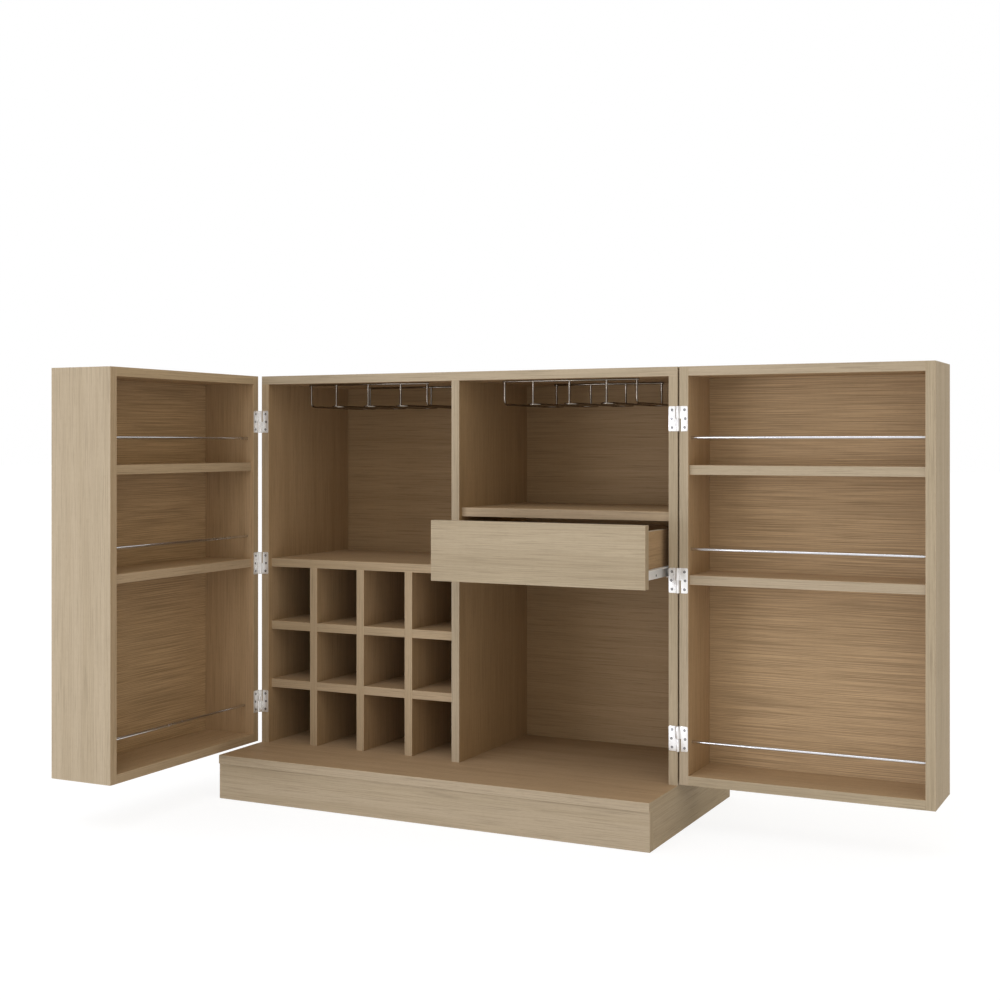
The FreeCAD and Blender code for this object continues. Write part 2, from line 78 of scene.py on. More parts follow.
WHITE: Colour = (1.0, 1.0, 1.0)
MERGE_DISTANCE = 2e-6
FLAT_ANGLE = math.radians(0.5)
SHARP_ANGLE = math.radians(38.0)
CORNER_ANGLE = math.radians(50.0)
FACING_COSINE = 0.9
ROUND_SHARE = 0.3
QUARTER_TURN = math.radians(90.0)
HALF_TURN = math.radians(180.0)
ROUND_PROFILE = 0.5
# The Mix node's sockets for a factor and two colours, and for the mixed colour.
MIX_INPUTS = (0, 6, 7)
MIX_RESULT = 2
NOISE_MIDDLE = 0.5
NOISE_CORE: Span = (0.3, 0.7)
NOISE_BODY: Span = (0.2, 0.8)
GRAIN_MAP = "grain"
NEAR_EDGE_MAP = "near_edge"
FAR_EDGE_MAP = "far_edge"
RECESS_LAYER = "recess"
INNER_SHADE_LAYER = "inner"
LINES_LAYER = "lines"


class Axis(Enum):
    """An axis of the shared frame."""

    X = 0
    Y = 1
    Z = 2


class Facing(Enum):
    """A direction of the shared frame."""

    RIGHT = (1.0, 0.0, 0.0)
    LEFT = (-1.0, 0.0, 0.0)
    BACK = (0.0, 1.0, 0.0)
    FRONT = (0.0, -1.0, 0.0)
    UP = (0.0, 0.0, 1.0)
    DOWN = (0.0, 0.0, -1.0)


class Side(Enum):
    """A side of the cabinet, by the name that its nodes carry."""

    LEFT = "left"
    RIGHT = "right"


class Slot(Enum):
    """The record's material slots."""

    OAK_BOARD = "oak_board"
    OAK_BACK = "oak_back"
    DOWEL_BEECH = "dowel_beech"
    RACK_CHROME = "rack_chrome"
    RAIL_STEEL = "rail_steel"
    HINGE_NICKEL = "hinge_nickel"
    SCREW_STEEL = "screw_steel"
    SLIDE_WHITE = "slide_white"
    ROLLER_NYLON = "roller_nylon"


# Shader nodes


class Bench:
    """Places the nodes of one tree and joins them."""

    def __init__(self, tree: NodeTree) -> None:
        """Starts work on the tree of a material, a world or a group."""
        self.tree = tree

    @classmethod
    def cleared(cls, owner: Material | World) -> "Bench":
        """Starts work on an emptied tree.

        Args:
            owner: The material or world that has the tree.

        Returns:
            The new bench.
        """
        owner.use_nodes = True
        owner.node_tree.nodes.clear()
        return cls(owner.node_tree)

    def put(self, kind: str, feeds: dict | None = None, **settings: object) -> Node:
        """Adds a node.

        Args:
            kind: The node's type name without its leading "ShaderNode".
            feeds: What goes into its inputs, by name or number.
            **settings: Values for the node's own properties.

        Returns:
            The new node.
        """
        node = self.tree.nodes.new("ShaderNode" + kind)
        for name, value in settings.items():
            setattr(node, name, value)
        for key, value in (feeds or {}).items():
            self.feed(node.inputs[key], value)
        return node

    def feed(self, socket: NodeSocket, value: object) -> None:
        """Sets a socket, or links it.

        Args:
            socket: The input to feed.
            value: A number, a colour, a vector, or the output of another node.
        """
        if isinstance(value, NodeSocket):
            self.tree.links.new(value, socket)
        else:
            socket.default_value = (*value, 1.0) if socket.type == "RGBA" else value

    def sum(self, operation: str, first: object, second: object = 0.0) -> NodeSocket:
        """Works out a number from two others, by one of the Math node's operations."""
        return self.put("Math", {0: first, 1: second}, operation=operation).outputs[0]

    def times(self, first: object, second: object) -> NodeSocket:
        """Multiplies two numbers."""
        return self.sum("MULTIPLY", first, second)

    def blend(self, first: NodeSocket, second: NodeSocket, share: float) -> NodeSocket:
        """Adds up two numbers, the first by its share and the second by the rest."""
        return self.sum("ADD", self.times(first, share), self.times(second, 1.0 - share))

    def remap(self, value: object, span: Span, target: Span = (0.0, 1.0)) -> NodeSocket:
        """Stretches a span of numbers over another, and holds it there."""
        limits = dict(zip(("From Min", "From Max", "To Min", "To Max"), (*span, *target)))
        return self.put("MapRange", {"Value": value, **limits}, clamp=True).outputs["Result"]

    def tint(self, factor: object, first: object, second: object, way: str = "MIX") -> NodeSocket:
        """Mixes two colours by the share of the second, in one of the Mix node's blend types."""
        feeds = dict(zip(MIX_INPUTS, (factor, first, second)))
        return self.put("Mix", feeds, data_type="RGBA", blend_type=way).outputs[MIX_RESULT]

    def noise(self, place: object, count: object, fine: Span, dimensions: str = "3D") -> NodeSocket:
        """Noise from 0 to 1, by its marks per metre and the octaves and roughness of finer ones."""
        feeds = {"Vector": place, "Scale": count, "Detail": fine[0], "Roughness": fine[1]}
        return self.put("TexNoise", feeds, noise_dimensions=dimensions).outputs[0]

    def bump(self, height: NodeSocket, strength: float, distance: float) -> NodeSocket:
        """The normal of a slight relief, whose full height is a distance in metres."""
        feeds = {"Strength": strength, "Distance": distance, "Height": height}
        return self.put("Bump", feeds).outputs[0]

    def mix(self, factor: NodeSocket, first: NodeSocket, second: NodeSocket) -> NodeSocket:
        """Mixes two shaders by the share of the second."""
        return self.put("MixShader", {0: factor, 1: first, 2: second}).outputs[0]

    def split(self, vector: NodeSocket) -> Sequence[NodeSocket]:
        """The three parts of a vector."""
        return self.put("SeparateXYZ", {0: vector}).outputs

    def uv(self, name: str) -> NodeSocket:
        """The place on one of a piece's own maps."""
        return self.put("UVMap", uv_map=name).outputs["UV"]

    def attribute(self, name: str) -> NodeSocket:
        """A number that the faces of a piece carry."""
        return self.put("Attribute", attribute_name=name).outputs["Fac"]

    def place(self, **mapping: Triple) -> NodeSocket:
        """The place on a piece, with a Scale or a Rotation of the pattern."""
        place = self.put("TexCoord").outputs["Object"]
        return self.put("Mapping", {"Vector": place, **mapping}).outputs[0] if mapping else place


class EffectGroup:
    """A shader node group with named inputs and outputs."""

    def __init__(self, name: str, inputs: dict[str, str], outputs: Sequence[str]) -> None:
        """Makes the empty group.

        Args:
            name: The group's name.
            inputs: The kind of each input socket, by its name.
            outputs: The names of the outputs, which all hold numbers.
        """
        self.tree = bpy.data.node_groups.new(name, "ShaderNodeTree")
        for label, kind in inputs.items():
            self.tree.interface.new_socket(label, in_out="INPUT", socket_type="NodeSocket" + kind)
        for label in outputs:
            self.tree.interface.new_socket(label, in_out="OUTPUT", socket_type="NodeSocketFloat")
        self.bench = Bench(self.tree)
        self.entry = self.tree.nodes.new("NodeGroupInput").outputs
        self.exit = self.tree.nodes.new("NodeGroupOutput").inputs

    def put_in(self, bench: Bench, feeds: dict[str, object]) -> Sequence[NodeSocket]:
        """Places the group in a material, feeds its inputs by name and gives its outputs."""
        return bench.put("Group", feeds, node_tree=self.tree).outputs


class GrainLayer(NamedTuple):
    """One kind of mark in the grain; it fades in between the noise levels of its cut."""

    along_count: float
    fine: Span
    cut: Span | None = None


class OakFigure(EffectGroup):
    """Straight oak grain: broad bands, fine streaks, thin lines, short dashes and open pores."""

    DRIFT = GrainLayer(2.2, (2.0, 0.5))
    DRIFT_COUNT = 5.0
    DRIFT_REACH = 0.004
    LEAF = GrainLayer(0.21, (0.0, 0.5))
    LEAF_COUNT = 0.23
    LAYERS = {
        "Band": GrainLayer(1.1, (3.0, 0.55)),
        "Streak": GrainLayer(7.0, (4.0, 0.6)),
        "Line": GrainLayer(5.5, (1.5, 0.5), (0.40, 0.62)),
        "Dash": GrainLayer(10.0, (2.0, 0.55), (0.57, 0.68)),
        "Pore": GrainLayer(85.0, (1.0, 0.5), (0.6, 0.72)),
    }
    STREAK_HEIGHT = 0.35
    PORE_DEPTH = 0.8

    def __init__(self) -> None:
        """Builds the group."""
        counts = {name + " Count": "Float" for name in self.LAYERS}
        outputs = ("Leaf", *self.LAYERS, "Height")
        super().__init__("oak_figure", {"Place": "Vector", **counts}, outputs)
        bench = self.bench
        along, straight, _ = bench.split(self.entry["Place"])
        drift = self._draw(along, straight, self.DRIFT, self.DRIFT_COUNT)
        shift = bench.times(bench.sum("SUBTRACT", drift, NOISE_MIDDLE), self.DRIFT_REACH)
        across = bench.sum("ADD", straight, shift)
        marks = {"Leaf": self._draw(along, straight, self.LEAF, self.LEAF_COUNT)}
        for name, layer in self.LAYERS.items():
            marks[name] = self._draw(along, across, layer, self.entry[name + " Count"])
        raised = bench.times(marks["Streak"], self.STREAK_HEIGHT)
        marks["Height"] = bench.sum("SUBTRACT", raised, bench.times(marks["Pore"], self.PORE_DEPTH))
        for label, value in marks.items():
            bench.feed(self.exit[label], value)

    def _draw(
        self, along: NodeSocket, across: NodeSocket, layer: GrainLayer, count: object
    ) -> NodeSocket:
        """Draws one kind of mark out along the grain.

        Args:
            along: Distance along the grain.
            across: Distance across the grain.
            layer: The kind of mark.
            count: Marks per metre across the grain.

        Returns:
            The marks, from 0 to 1.
        """
        bench = self.bench
        feeds = {0: bench.times(along, layer.along_count), 1: bench.times(across, count)}
        place = bench.put("CombineXYZ", feeds).outputs[0]
        noise = bench.noise(place, 1.0, layer.fine, "2D")
        return bench.remap(noise, layer.cut) if layer.cut else noise

    def lay(self, bench: Bench, place: NodeSocket, counts: Sequence[float]) -> Sequence[NodeSocket]:
        """Places the figure in a material, with each layer's marks per metre across the grain."""
        named = {name + " Count": count for name, count in zip(self.LAYERS, counts)}
        return self.put_in(bench, {"Place": place, **named})


class EdgeWearAndHighlight(EffectGroup):
    """A broken mask of rubbed edges and their painted highlight, from the distances to a face's
    four edges.
    """

    FALL_OFF = 1.6
    PATCH_COUNT = 60.0
    PATCH_FINE = (3.0, 0.6)
    LEAST_SHARE = 0.35

    def __init__(self) -> None:
        """Builds the group."""
        inputs = {"Near": "Vector", "Far": "Vector", "Place": "Vector", "Reach": "Float"}
        super().__init__("edge_wear", inputs, ("Wear",))
        bench = self.bench
        distances = []
        for label in ("Near", "Far"):
            run, cross, _ = bench.split(self.entry[label])
            distances.append(bench.sum("MINIMUM", run, cross))
        nearest = bench.sum("DIVIDE", bench.sum("MINIMUM", *distances), self.entry["Reach"])
        # Lighter towards the edges, partly as wear and partly as painted highlight.
        rubbed_and_lit = bench.sum("POWER", bench.remap(nearest, (0.0, 1.0), (1.0, 0.0)), self.FALL_OFF)
        patches = bench.noise(self.entry["Place"], self.PATCH_COUNT, self.PATCH_FINE)
        broken = bench.remap(patches, NOISE_CORE, (self.LEAST_SHARE, 1.0))
        bench.feed(self.exit["Wear"], bench.times(rubbed_and_lit, broken))


class HandMarks(EffectGroup):
    """Faint cloudy marks and a fine tooth, for metal and plastic."""

    CLOUD_FINE = (3.0, 0.6)
    TOOTH_FINE = (2.0, 0.5)

    def __init__(self) -> None:
        """Builds the group."""
        inputs = {"Place": "Vector", "Cloud Count": "Float", "Tooth Count": "Float"}
        super().__init__("hand_marks", inputs, ("Cloud", "Tooth"))
        cloud = self.bench.noise(self.entry["Place"], self.entry["Cloud Count"], self.CLOUD_FINE)
        tooth = self.bench.noise(self.entry["Place"], self.entry["Tooth Count"], self.TOOTH_FINE)
        self.bench.feed(self.exit["Cloud"], self.bench.remap(cloud, NOISE_CORE))
        self.bench.feed(self.exit["Tooth"], tooth)


class Effects(NamedTuple):
    """The node groups that the finishes share."""

    figure: OakFigure
    wear_and_highlight: EdgeWearAndHighlight
    marks: HandMarks


# Finishes


class Finish:
    """The recipe of a material."""

    def look(self, bench: Bench, effects: Effects) -> dict[str, object]:
        """What goes into the shader's inputs, by name."""
        raise NotImplementedError

    def make(self, name: str, effects: Effects) -> Material:
        """Builds the material.

        Args:
            name: The material's name.
            effects: The shared node groups.

        Returns:
            The finished material.
        """
        material = bpy.data.materials.new(name)
        bench = Bench.cleared(material)
        shader = bench.put("BsdfPrincipled", self.look(bench, effects))
        bench.put("OutputMaterial", {"Surface": shader.outputs[0]})
        return material


@dataclass(frozen=True)
class OakFinish(Finish):
    """Matt-lacquered oak, with its grain drawn on each face of a board."""

    pale: Colour
    deep: Colour
    rosy: Colour
    counts: tuple[float, ...] = (42.0, 480.0, 900.0, 680.0, 2300.0)
    band_share: float = 0.55
    blush_span: Span = (0.35, 0.65)
    blush_depth: float = 0.75
    dark_share: float = 0.62
    bright_share: float = 1.22
    line_depth: float = 0.60
    dash_depth: float = 0.42
    pore_depth: float = 0.22
    wear_and_highlight: float = 0.35
    wear_and_highlight_reach: float = 0.0018
    # Painted shade: a darker, warmer tone for faces that look inwards, and a further darkening for
    # the deepest ones.
    inner_shade_tone: Colour = (1.05, 0.90, 0.75)
    deep_shade_tone: Colour = (0.91, 0.90, 0.88)
    dullness: Span = (0.54, 0.68)
    pore_dullness: float = 0.12
    specular: float = 0.12
    relief: float = 0.10
    relief_depth: float = 0.0004

    def look(self, bench: Bench, effects: Effects) -> dict[str, object]:
        """Draws the oak, from its bands to its rubbed edges with their painted highlight, and
        paints shade on it inside the armoire.

        Args:
            bench: The bench of the material's tree.
            effects: The shared node groups.

        Returns:
            What goes into the shader's inputs, by name.
        """
        figure = effects.figure.lay(bench, bench.uv(GRAIN_MAP), self.counts)
        rims = {"Near": bench.uv(NEAR_EDGE_MAP), "Far": bench.uv(FAR_EDGE_MAP)}
        rims |= {"Place": bench.place(), "Reach": self.wear_and_highlight_reach}
        wear_and_highlight = effects.wear_and_highlight.put_in(bench, rims)
        inner = bench.attribute(INNER_SHADE_LAYER)
        lined = bench.times(bench.attribute(LINES_LAYER), self.line_depth)
        blush = bench.remap(figure["Leaf"], self.blush_span, (0.0, self.blush_depth))
        dark = tuple(part * self.dark_share for part in self.deep)
        bright = tuple(min(1.0, part * self.bright_share) for part in self.pale)

        ground = bench.blend(figure["Band"], figure["Streak"], self.band_share)
        wood = bench.tint(bench.remap(ground, NOISE_CORE), self.deep, self.pale)
        for mask, depth, colour in (
            (blush, figure["Band"], self.rosy),
            (figure["Line"], lined, dark),
            (bench.sum("SUBTRACT", 1.0, figure["Line"]), lined, bright),
            (figure["Dash"], self.dash_depth, dark),
            (figure["Pore"], self.pore_depth, dark),
            # Rubbed edges, lightened as wear and as a painted edge highlight.
            (wear_and_highlight["Wear"], self.wear_and_highlight, bright),
        ):
            wood = bench.tint(bench.times(mask, depth), wood, colour)
        # Painted shade on the faces inside the armoire, deeper on the deepest ones.
        wood = bench.tint(inner, wood, self.inner_shade_tone, "MULTIPLY")
        wood = bench.tint(bench.sum("SUBTRACT", inner, 1.0), wood, self.deep_shade_tone, "MULTIPLY")
        dull = bench.remap(figure["Streak"], NOISE_BODY, self.dullness)
        return {
            "Base Color": wood,
            "Roughness": bench.sum("ADD", dull, bench.times(figure["Pore"], self.pore_dullness)),
            "Specular IOR Level": self.specular,
            "Normal": bench.bump(figure["Height"], self.relief, self.relief_depth),
        }


@dataclass(frozen=True)
class DowelFinish(Finish):
    """Bare turned beech, with short flecks along the dowels."""

    pale: Colour
    fleck: Colour
    counts: tuple[float, ...] = (90.0, 420.0, 420.0, 420.0, 1500.0)
    dullness: Span = (0.6, 0.75)
    turn: Triple = (0.0, QUARTER_TURN, 0.0)

    def look(self, bench: Bench, effects: Effects) -> dict[str, object]:
        """Draws the beech and its flecks.

        Args:
            bench: The bench of the material's tree.
            effects: The shared node groups.

        Returns:
            What goes into the shader's inputs, by name.
        """
        figure = effects.figure.lay(bench, bench.place(Rotation=self.turn), self.counts)
        wood = bench.tint(figure["Streak"], self.pale, self.fleck)
        return {
            "Base Color": bench.tint(figure["Dash"], wood, self.fleck),
            "Roughness": bench.remap(figure["Streak"], NOISE_BODY, self.dullness),
        }


@dataclass(frozen=True)
class HardFinish(Finish):
    """Metal, or a coated or moulded surface, with faint cloudy marks and a fine tooth."""

    clean: Colour
    dulled: Colour
    dullness: Span
    cloud_count: float = 25.0
    tooth_count: float = 900.0
    tooth_stretch: Triple = (1.0, 1.0, 1.0)
    cloud_share: float = 0.6
    dull_span: Span = (0.1, 0.9)
    relief: float = 0.04
    relief_depth: float = 0.0001
    # Painted shade in recesses, and its colour.
    recess_shade: float = 0.0
    recess_shade_colour: Colour = (0.02, 0.02, 0.02)
    metallic: float = 1.0

    def look(self, bench: Bench, effects: Effects) -> dict[str, object]:
        """Draws the marks and the tooth, and paints shade into what lies in a recess.

        Args:
            bench: The bench of the material's tree.
            effects: The shared node groups.

        Returns:
            What goes into the shader's inputs, by name.
        """
        feeds = {"Cloud Count": self.cloud_count, "Tooth Count": self.tooth_count}
        feeds["Place"] = bench.place(Scale=self.tooth_stretch)
        marks = effects.marks.put_in(bench, feeds)
        colour = bench.tint(marks["Cloud"], self.clean, self.dulled)
        # Painted shade: the recess faces are darkened towards the recess colour.
        if self.recess_shade:
            recess = bench.times(bench.attribute(RECESS_LAYER), self.recess_shade)
            colour = bench.tint(recess, colour, self.recess_shade_colour)
        spread = bench.blend(marks["Cloud"], marks["Tooth"], self.cloud_share)
        return {
            "Base Color": colour,
            "Metallic": self.metallic,
            "Roughness": bench.remap(spread, self.dull_span, self.dullness),
            "Normal": bench.bump(marks["Tooth"], self.relief, self.relief_depth),
        }


COAT = {
    "cloud_count": 30.0,
    "tooth_count": 1400.0,
    "cloud_share": 0.0,
    "dull_span": NOISE_BODY,
    "relief": 0.12,
    "relief_depth": 0.0002,
    "metallic": 0.0,
}
NYLON = {**COAT, "tooth_count": 700.0, "relief": 0.06}
PLATED = {"tooth_count": 2500.0, "tooth_stretch": (1.0, 1.0, 0.06), "metallic": 0.6}
VENEER = {"counts": (55.0, 480.0, 900.0, 480.0, 2300.0), "relief": 0.07}
RECIPES = {
    Slot.OAK_BOARD: OakFinish((0.468, 0.381, 0.264), (0.372, 0.296, 0.196), (0.462, 0.371, 0.275)),
    # The back's oak is a little darker than the boards': partly its own veneer, partly painted
    # shade deep in the cabinet.
    Slot.OAK_BACK: OakFinish(
        (0.420, 0.338, 0.230), (0.326, 0.256, 0.165), (0.414, 0.328, 0.238), **VENEER
    ),
    Slot.DOWEL_BEECH: DowelFinish((0.60, 0.45, 0.29), (0.44, 0.30, 0.18)),
    # The rack's colour is dark and brownish to stand in for the dark wood that it reflects inside
    # the cabinet: a painted reflection.
    Slot.RACK_CHROME: HardFinish((0.27, 0.235, 0.195), (0.21, 0.18, 0.15), (0.12, 0.26)),
    Slot.RAIL_STEEL: HardFinish((0.70, 0.70, 0.71), (0.62, 0.62, 0.63), (0.16, 0.30)),
    Slot.HINGE_NICKEL: HardFinish((0.95, 0.94, 0.93), (0.88, 0.87, 0.86), (0.20, 0.34), **PLATED),
    Slot.SCREW_STEEL: HardFinish(
        (0.13, 0.13, 0.13), (0.08, 0.08, 0.08), (0.24, 0.40), recess_shade=0.92
    ),
    Slot.SLIDE_WHITE: HardFinish((0.80, 0.80, 0.80), (0.74, 0.74, 0.73), (0.30, 0.42), **COAT),
    Slot.ROLLER_NYLON: HardFinish((0.74, 0.73, 0.69), (0.66, 0.65, 0.61), (0.34, 0.48), **NYLON),
}


class Piece(NamedTuple):
    """A shape, its stuff, the node that it stands for, the body it rides on and its slot."""

    shape: BMesh
    stuff: str
    node: str
    body: str
    slot: Slot


class FinishRack:
    """Every finish of the armoire, by material slot."""

    def __init__(self) -> None:
        """Makes the materials."""
        effects = Effects(OakFigure(), EdgeWearAndHighlight(), HandMarks())
        self.materials = {slot: look.make(slot.value, effects) for slot, look in RECIPES.items()}

    def dress(self, made: Piece) -> None:
        """Puts a piece in the scene in place of its solid, with its finish.

        Args:
            made: The piece, whose shape is let go.
        """
        name = f"{made.stuff}_{made.node}"
        mesh = bpy.data.meshes.new(name)
        made.shape.to_mesh(mesh)
        made.shape.free()
        # The solid's own normals don't fit the reworked faces.
        stale = mesh.attributes.get("custom_normal")
        if stale is not None:
            mesh.attributes.remove(stale)
        piece = bpy.data.objects.new(name, mesh)
        bpy.context.scene.collection.objects.link(piece)
        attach(piece, made.body)
        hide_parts(made.node)
        mesh.materials.clear()
        mesh.materials.append(self.materials[made.slot])
        LOG.info("%s: %d faces, rides on %s", name, len(mesh.polygons), made.body)

    def dress_solid(self, node: str, slot: Slot) -> None:
        """Gives a solid that stays the finish of a slot."""
        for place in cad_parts[node].material_slots:
            place.material = self.materials[slot]


# Mesh tools


def merged_copy(node: str) -> BMesh:
    """Copies a solid's mesh, with its loose triangles merged into whole faces.

    Args:
        node: The solid's node.

    Returns:
        The new mesh.
    """
    bm = bmesh.new()
    bm.from_mesh(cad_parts[node].data)
    bmesh.ops.remove_doubles(bm, verts=bm.verts, dist=MERGE_DISTANCE)
    bmesh.ops.dissolve_limit(bm, angle_limit=FLAT_ANGLE, verts=bm.verts, edges=bm.edges)
    bm.normal_update()
    return bm


def solids_of(node: str) -> list[list[Vector]]:
    """Corners of each separate solid of a node.

    Args:
        node: The node that holds the solids.

    Returns:
        One list of corners for each solid, in a fixed order.
    """
    bm = merged_copy(node)
    waiting = set(bm.verts)
    found = []
    for start in bm.verts:
        if start not in waiting:
            continue
        waiting.discard(start)
        reached = [start]
        for corner in reached:
            for edge in corner.link_edges:
                other = edge.other_vert(corner)
                if other in waiting:
                    waiting.discard(other)
                    reached.append(other)
        found.append([corner.co.copy() for corner in reached])
    bm.free()
    return found


def mean(points: Iterable[Vector]) -> Vector:
    """The middle of some points."""
    listed = list(points)
    return sum(listed, Vector()) / len(listed)


def only(kind: type, made: dict[str, Iterable], name: str = "geom") -> list:
    """The corners or the edges among the results of a mesh operator."""
    return [item for item in made[name] if isinstance(item, kind)]


def moved(bm: BMesh, place: Matrix) -> BMesh:
    """Moves a whole mesh.

    Args:
        bm: The mesh to move.
        place: Where it goes. A mirrored place turns its faces.

    Returns:
        The same mesh.
    """
    bmesh.ops.transform(bm, matrix=place, verts=bm.verts)
    if place.determinant() < 0:
        bmesh.ops.reverse_faces(bm, faces=bm.faces)
    return bm


def softened(bm: BMesh) -> BMesh:
    """Shades a mesh smooth, with its sharp edges kept.

    Args:
        bm: The mesh to shade.

    Returns:
        The same mesh.
    """
    bm.normal_update()
    for face in bm.faces:
        face.smooth = True
    for edge in bm.edges:
        edge.smooth = len(edge.link_faces) == 2 and edge.calc_face_angle(0.0) < SHARP_ANGLE
    return bm


def joined(parts: Iterable[BMesh]) -> BMesh:
    """Joins parts into one mesh.

    Args:
        parts: The parts in their places, which are let go.

    Returns:
        The new mesh.
    """
    bm = bmesh.new()
    for part in parts:
        carrier = bpy.data.meshes.new("carrier")
        part.to_mesh(carrier)
        part.free()
        bm.from_mesh(carrier)
        bpy.data.meshes.remove(carrier)
    return bm


def both_ends(half: Profile, low: float, high: float) -> Profile:
    """A (radius, height) profile between two levels, with the same (radius, depth) ends."""
    lower = [(radius, low + depth) for radius, depth in half]
    return lower + [(radius, high - depth) for radius, depth in reversed(half)]


def soft_rim(radius: float, rounding: float) -> Profile:
    """The (radius, depth) pairs of a rounded rim, from its end inwards."""
    part_way = ROUND_SHARE * rounding
    return ((radius - rounding, 0.0), (radius - part_way, part_way), (radius, rounding))


def turned(profile: Profile, segments: int, closed: bool = False) -> BMesh:
    """Spins a profile about the Z axis.

    Args:
        profile: (radius, height) pairs.
        segments: Steps of the full turn.
        closed: Whether the last pair runs on to the first, as in a tube.

    Returns:
        The turned part.
    """
    bm = bmesh.new()
    line = [bm.verts.new((radius, 0.0, height)) for radius, height in profile]
    ends = line[1:] + line[:1] if closed else line[1:]
    edges = [bm.edges.new(pair) for pair in zip(line, ends)]
    turn = {"cent": (0.0, 0.0, 0.0), "axis": Facing.UP.value, "angle": math.tau, "steps": segments}
    bmesh.ops.spin(bm, geom=line + edges, use_merge=True, use_duplicate=False, **turn)
    bmesh.ops.remove_doubles(bm, verts=bm.verts, dist=MERGE_DISTANCE)
    bmesh.ops.recalc_face_normals(bm, faces=bm.faces)
    return softened(bm)


def towards(start: Vector, end: Vector) -> Matrix:
    """A place at one point whose Z axis runs towards another."""
    direction = (end - start).normalized()
    return Matrix.Translation(start) @ direction.to_track_quat("Z", "Y").to_matrix().to_4x4()


def turn_about(pivot: Vector, angle: float, axis: Axis) -> Matrix:
    """A turn in radians about an axis through a pivot."""
    turn = Matrix.Rotation(angle, 4, axis.name)
    return Matrix.Translation(pivot) @ turn @ Matrix.Translation(-pivot)


def round_bar(
    start: Vector, end: Vector, radius: float, end_round: float, segments: int = 24
) -> BMesh:
    """A round bar with softened ends.

    Args:
        start: The middle of one end.
        end: The middle of the other end.
        radius: The bar's radius.
        end_round: How far the ends are rounded over.
        segments: Steps of the full turn.

    Returns:
        The bar in its place.
    """
    part_way = end_round * (1.0 - math.sqrt(0.5))
    shoulder = (radius - part_way, part_way)
    half = ((0.0, 0.0), (radius - end_round, 0.0), shoulder, (radius, end_round))
    return moved(turned(both_ends(half, 0.0, (end - start).length), segments), towards(start, end))


def bevel(bm: BMesh, edges: list[BMEdge], width: float, segments: int) -> None:
    """Rounds edges of a mesh over a width."""
    shape = {"offset": width, "segments": segments, "profile": ROUND_PROFILE, "clamp_overlap": True}
    bmesh.ops.bevel(bm, geom=edges, offset_type="OFFSET", affect="EDGES", material=-1, **shape)


def rounded_edges(bm: BMesh, width: float, shortest: float = 0.0, segments: int = 2) -> None:
    """Rounds the long outer edges of a mesh.

    Args:
        bm: The mesh to work on.
        width: How far the rounding reaches from the edge.
        shortest: Edges shorter than this stay sharp.
        segments: Steps of the rounding.
    """
    bm.normal_update()
    edges = []
    for edge in bm.edges:
        outer = len(edge.link_faces) == 2 and edge.is_convex
        if outer and edge.calc_face_angle(0.0) > CORNER_ANGLE and edge.calc_length() > shortest:
            edges.append(edge)
    bevel(bm, edges, width, segments)


# Boards and screws


class Part:
    """A sub-assembly, which is built of pieces."""

    def pieces(self) -> Iterator[Piece]:
        """Makes the pieces, one after another."""
        raise NotImplementedError

    def build(self, finishes: FinishRack) -> None:
        """Makes the pieces and dresses them."""
        for piece in self.pieces():
            finishes.dress(piece)


@dataclass
class Board(Part):
    """One oak board, with rounded edges and the grain laid on each of its faces."""

    node: str
    body: str
    grain: Axis
    # Faces that look these ways get painted shade by shade, and the half-shaded ones get it by
    # half_shade.
    inner: tuple[Facing, ...] = ()
    slot: Slot = Slot.OAK_BOARD
    half_shaded: tuple[Facing, ...] = ()
    lines: float = 0.2
    inner_lines: float = 0.2
    shade: float = 1.0
    half_shade: float = 0.45
    edge_round: float = 0.00035
    shortest_edge: float = 0.0085
    leaf_reach: float = 30.0

    def pieces(self) -> Iterator[Piece]:
        """Makes the board.

        Returns:
            The board alone.
        """
        bm = merged_copy(self.node)
        rounded_edges(bm, self.edge_round, self.shortest_edge)
        self._lay_grain(bm)
        self._mark_faces(bm)
        yield Piece(bm, "oak", self.node, self.body, self.slot)

    def _lay_grain(self, bm: BMesh) -> None:
        """Lays the grain along each face or edge strip, and the distances to the face's edges.

        Args:
            bm: The board's mesh.
        """
        low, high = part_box(self.node)
        size = high - low
        maps = (GRAIN_MAP, NEAR_EDGE_MAP, FAR_EDGE_MAP)
        grain, near, far = [bm.loops.layers.uv.new(name) for name in maps]
        bm.normal_update()
        for face in bm.faces:
            normal = max(range(3), key=lambda index: abs(face.normal[index]))
            run = self.grain.value
            if run == normal:
                others = [index for index in range(3) if index != normal]
                run = max(others, key=lambda index: size[index])
            cross = 3 - normal - run
            leaf = random.Random(f"{self.node} {normal} {face.normal[normal] > 0.0}")
            shift = [leaf.uniform(-self.leaf_reach, self.leaf_reach) for _ in range(2)]
            for loop in face.loops:
                place = loop.vert.co
                loop[grain].uv = (place[run] + shift[0], place[cross] + shift[1])
                loop[near].uv = (place[run] - low[run], place[cross] - low[cross])
                loop[far].uv = (high[run] - place[run], high[cross] - place[cross])

    def _mark_faces(self, bm: BMesh) -> None:
        """Marks how lined the veneer is, and the faces that look inwards, which get painted shade,
        with lighter painted shade on the half-shaded faces.

        Args:
            bm: The board's mesh.
        """
        inner = bm.faces.layers.float.new(INNER_SHADE_LAYER)
        lines = bm.faces.layers.float.new(LINES_LAYER)
        for face in bm.faces:
            face[lines] = self.lines
            # Painted shade: full on inner faces, half on the half-shaded ones.
            for facings, shade in ((self.half_shaded, self.half_shade), (self.inner, self.shade)):
                if any(face.normal.dot(Vector(facing.value)) > FACING_COSINE for facing in facings):
                    face[inner] = shade
            if face[inner] >= 1.0:
                face[lines] = self.inner_lines


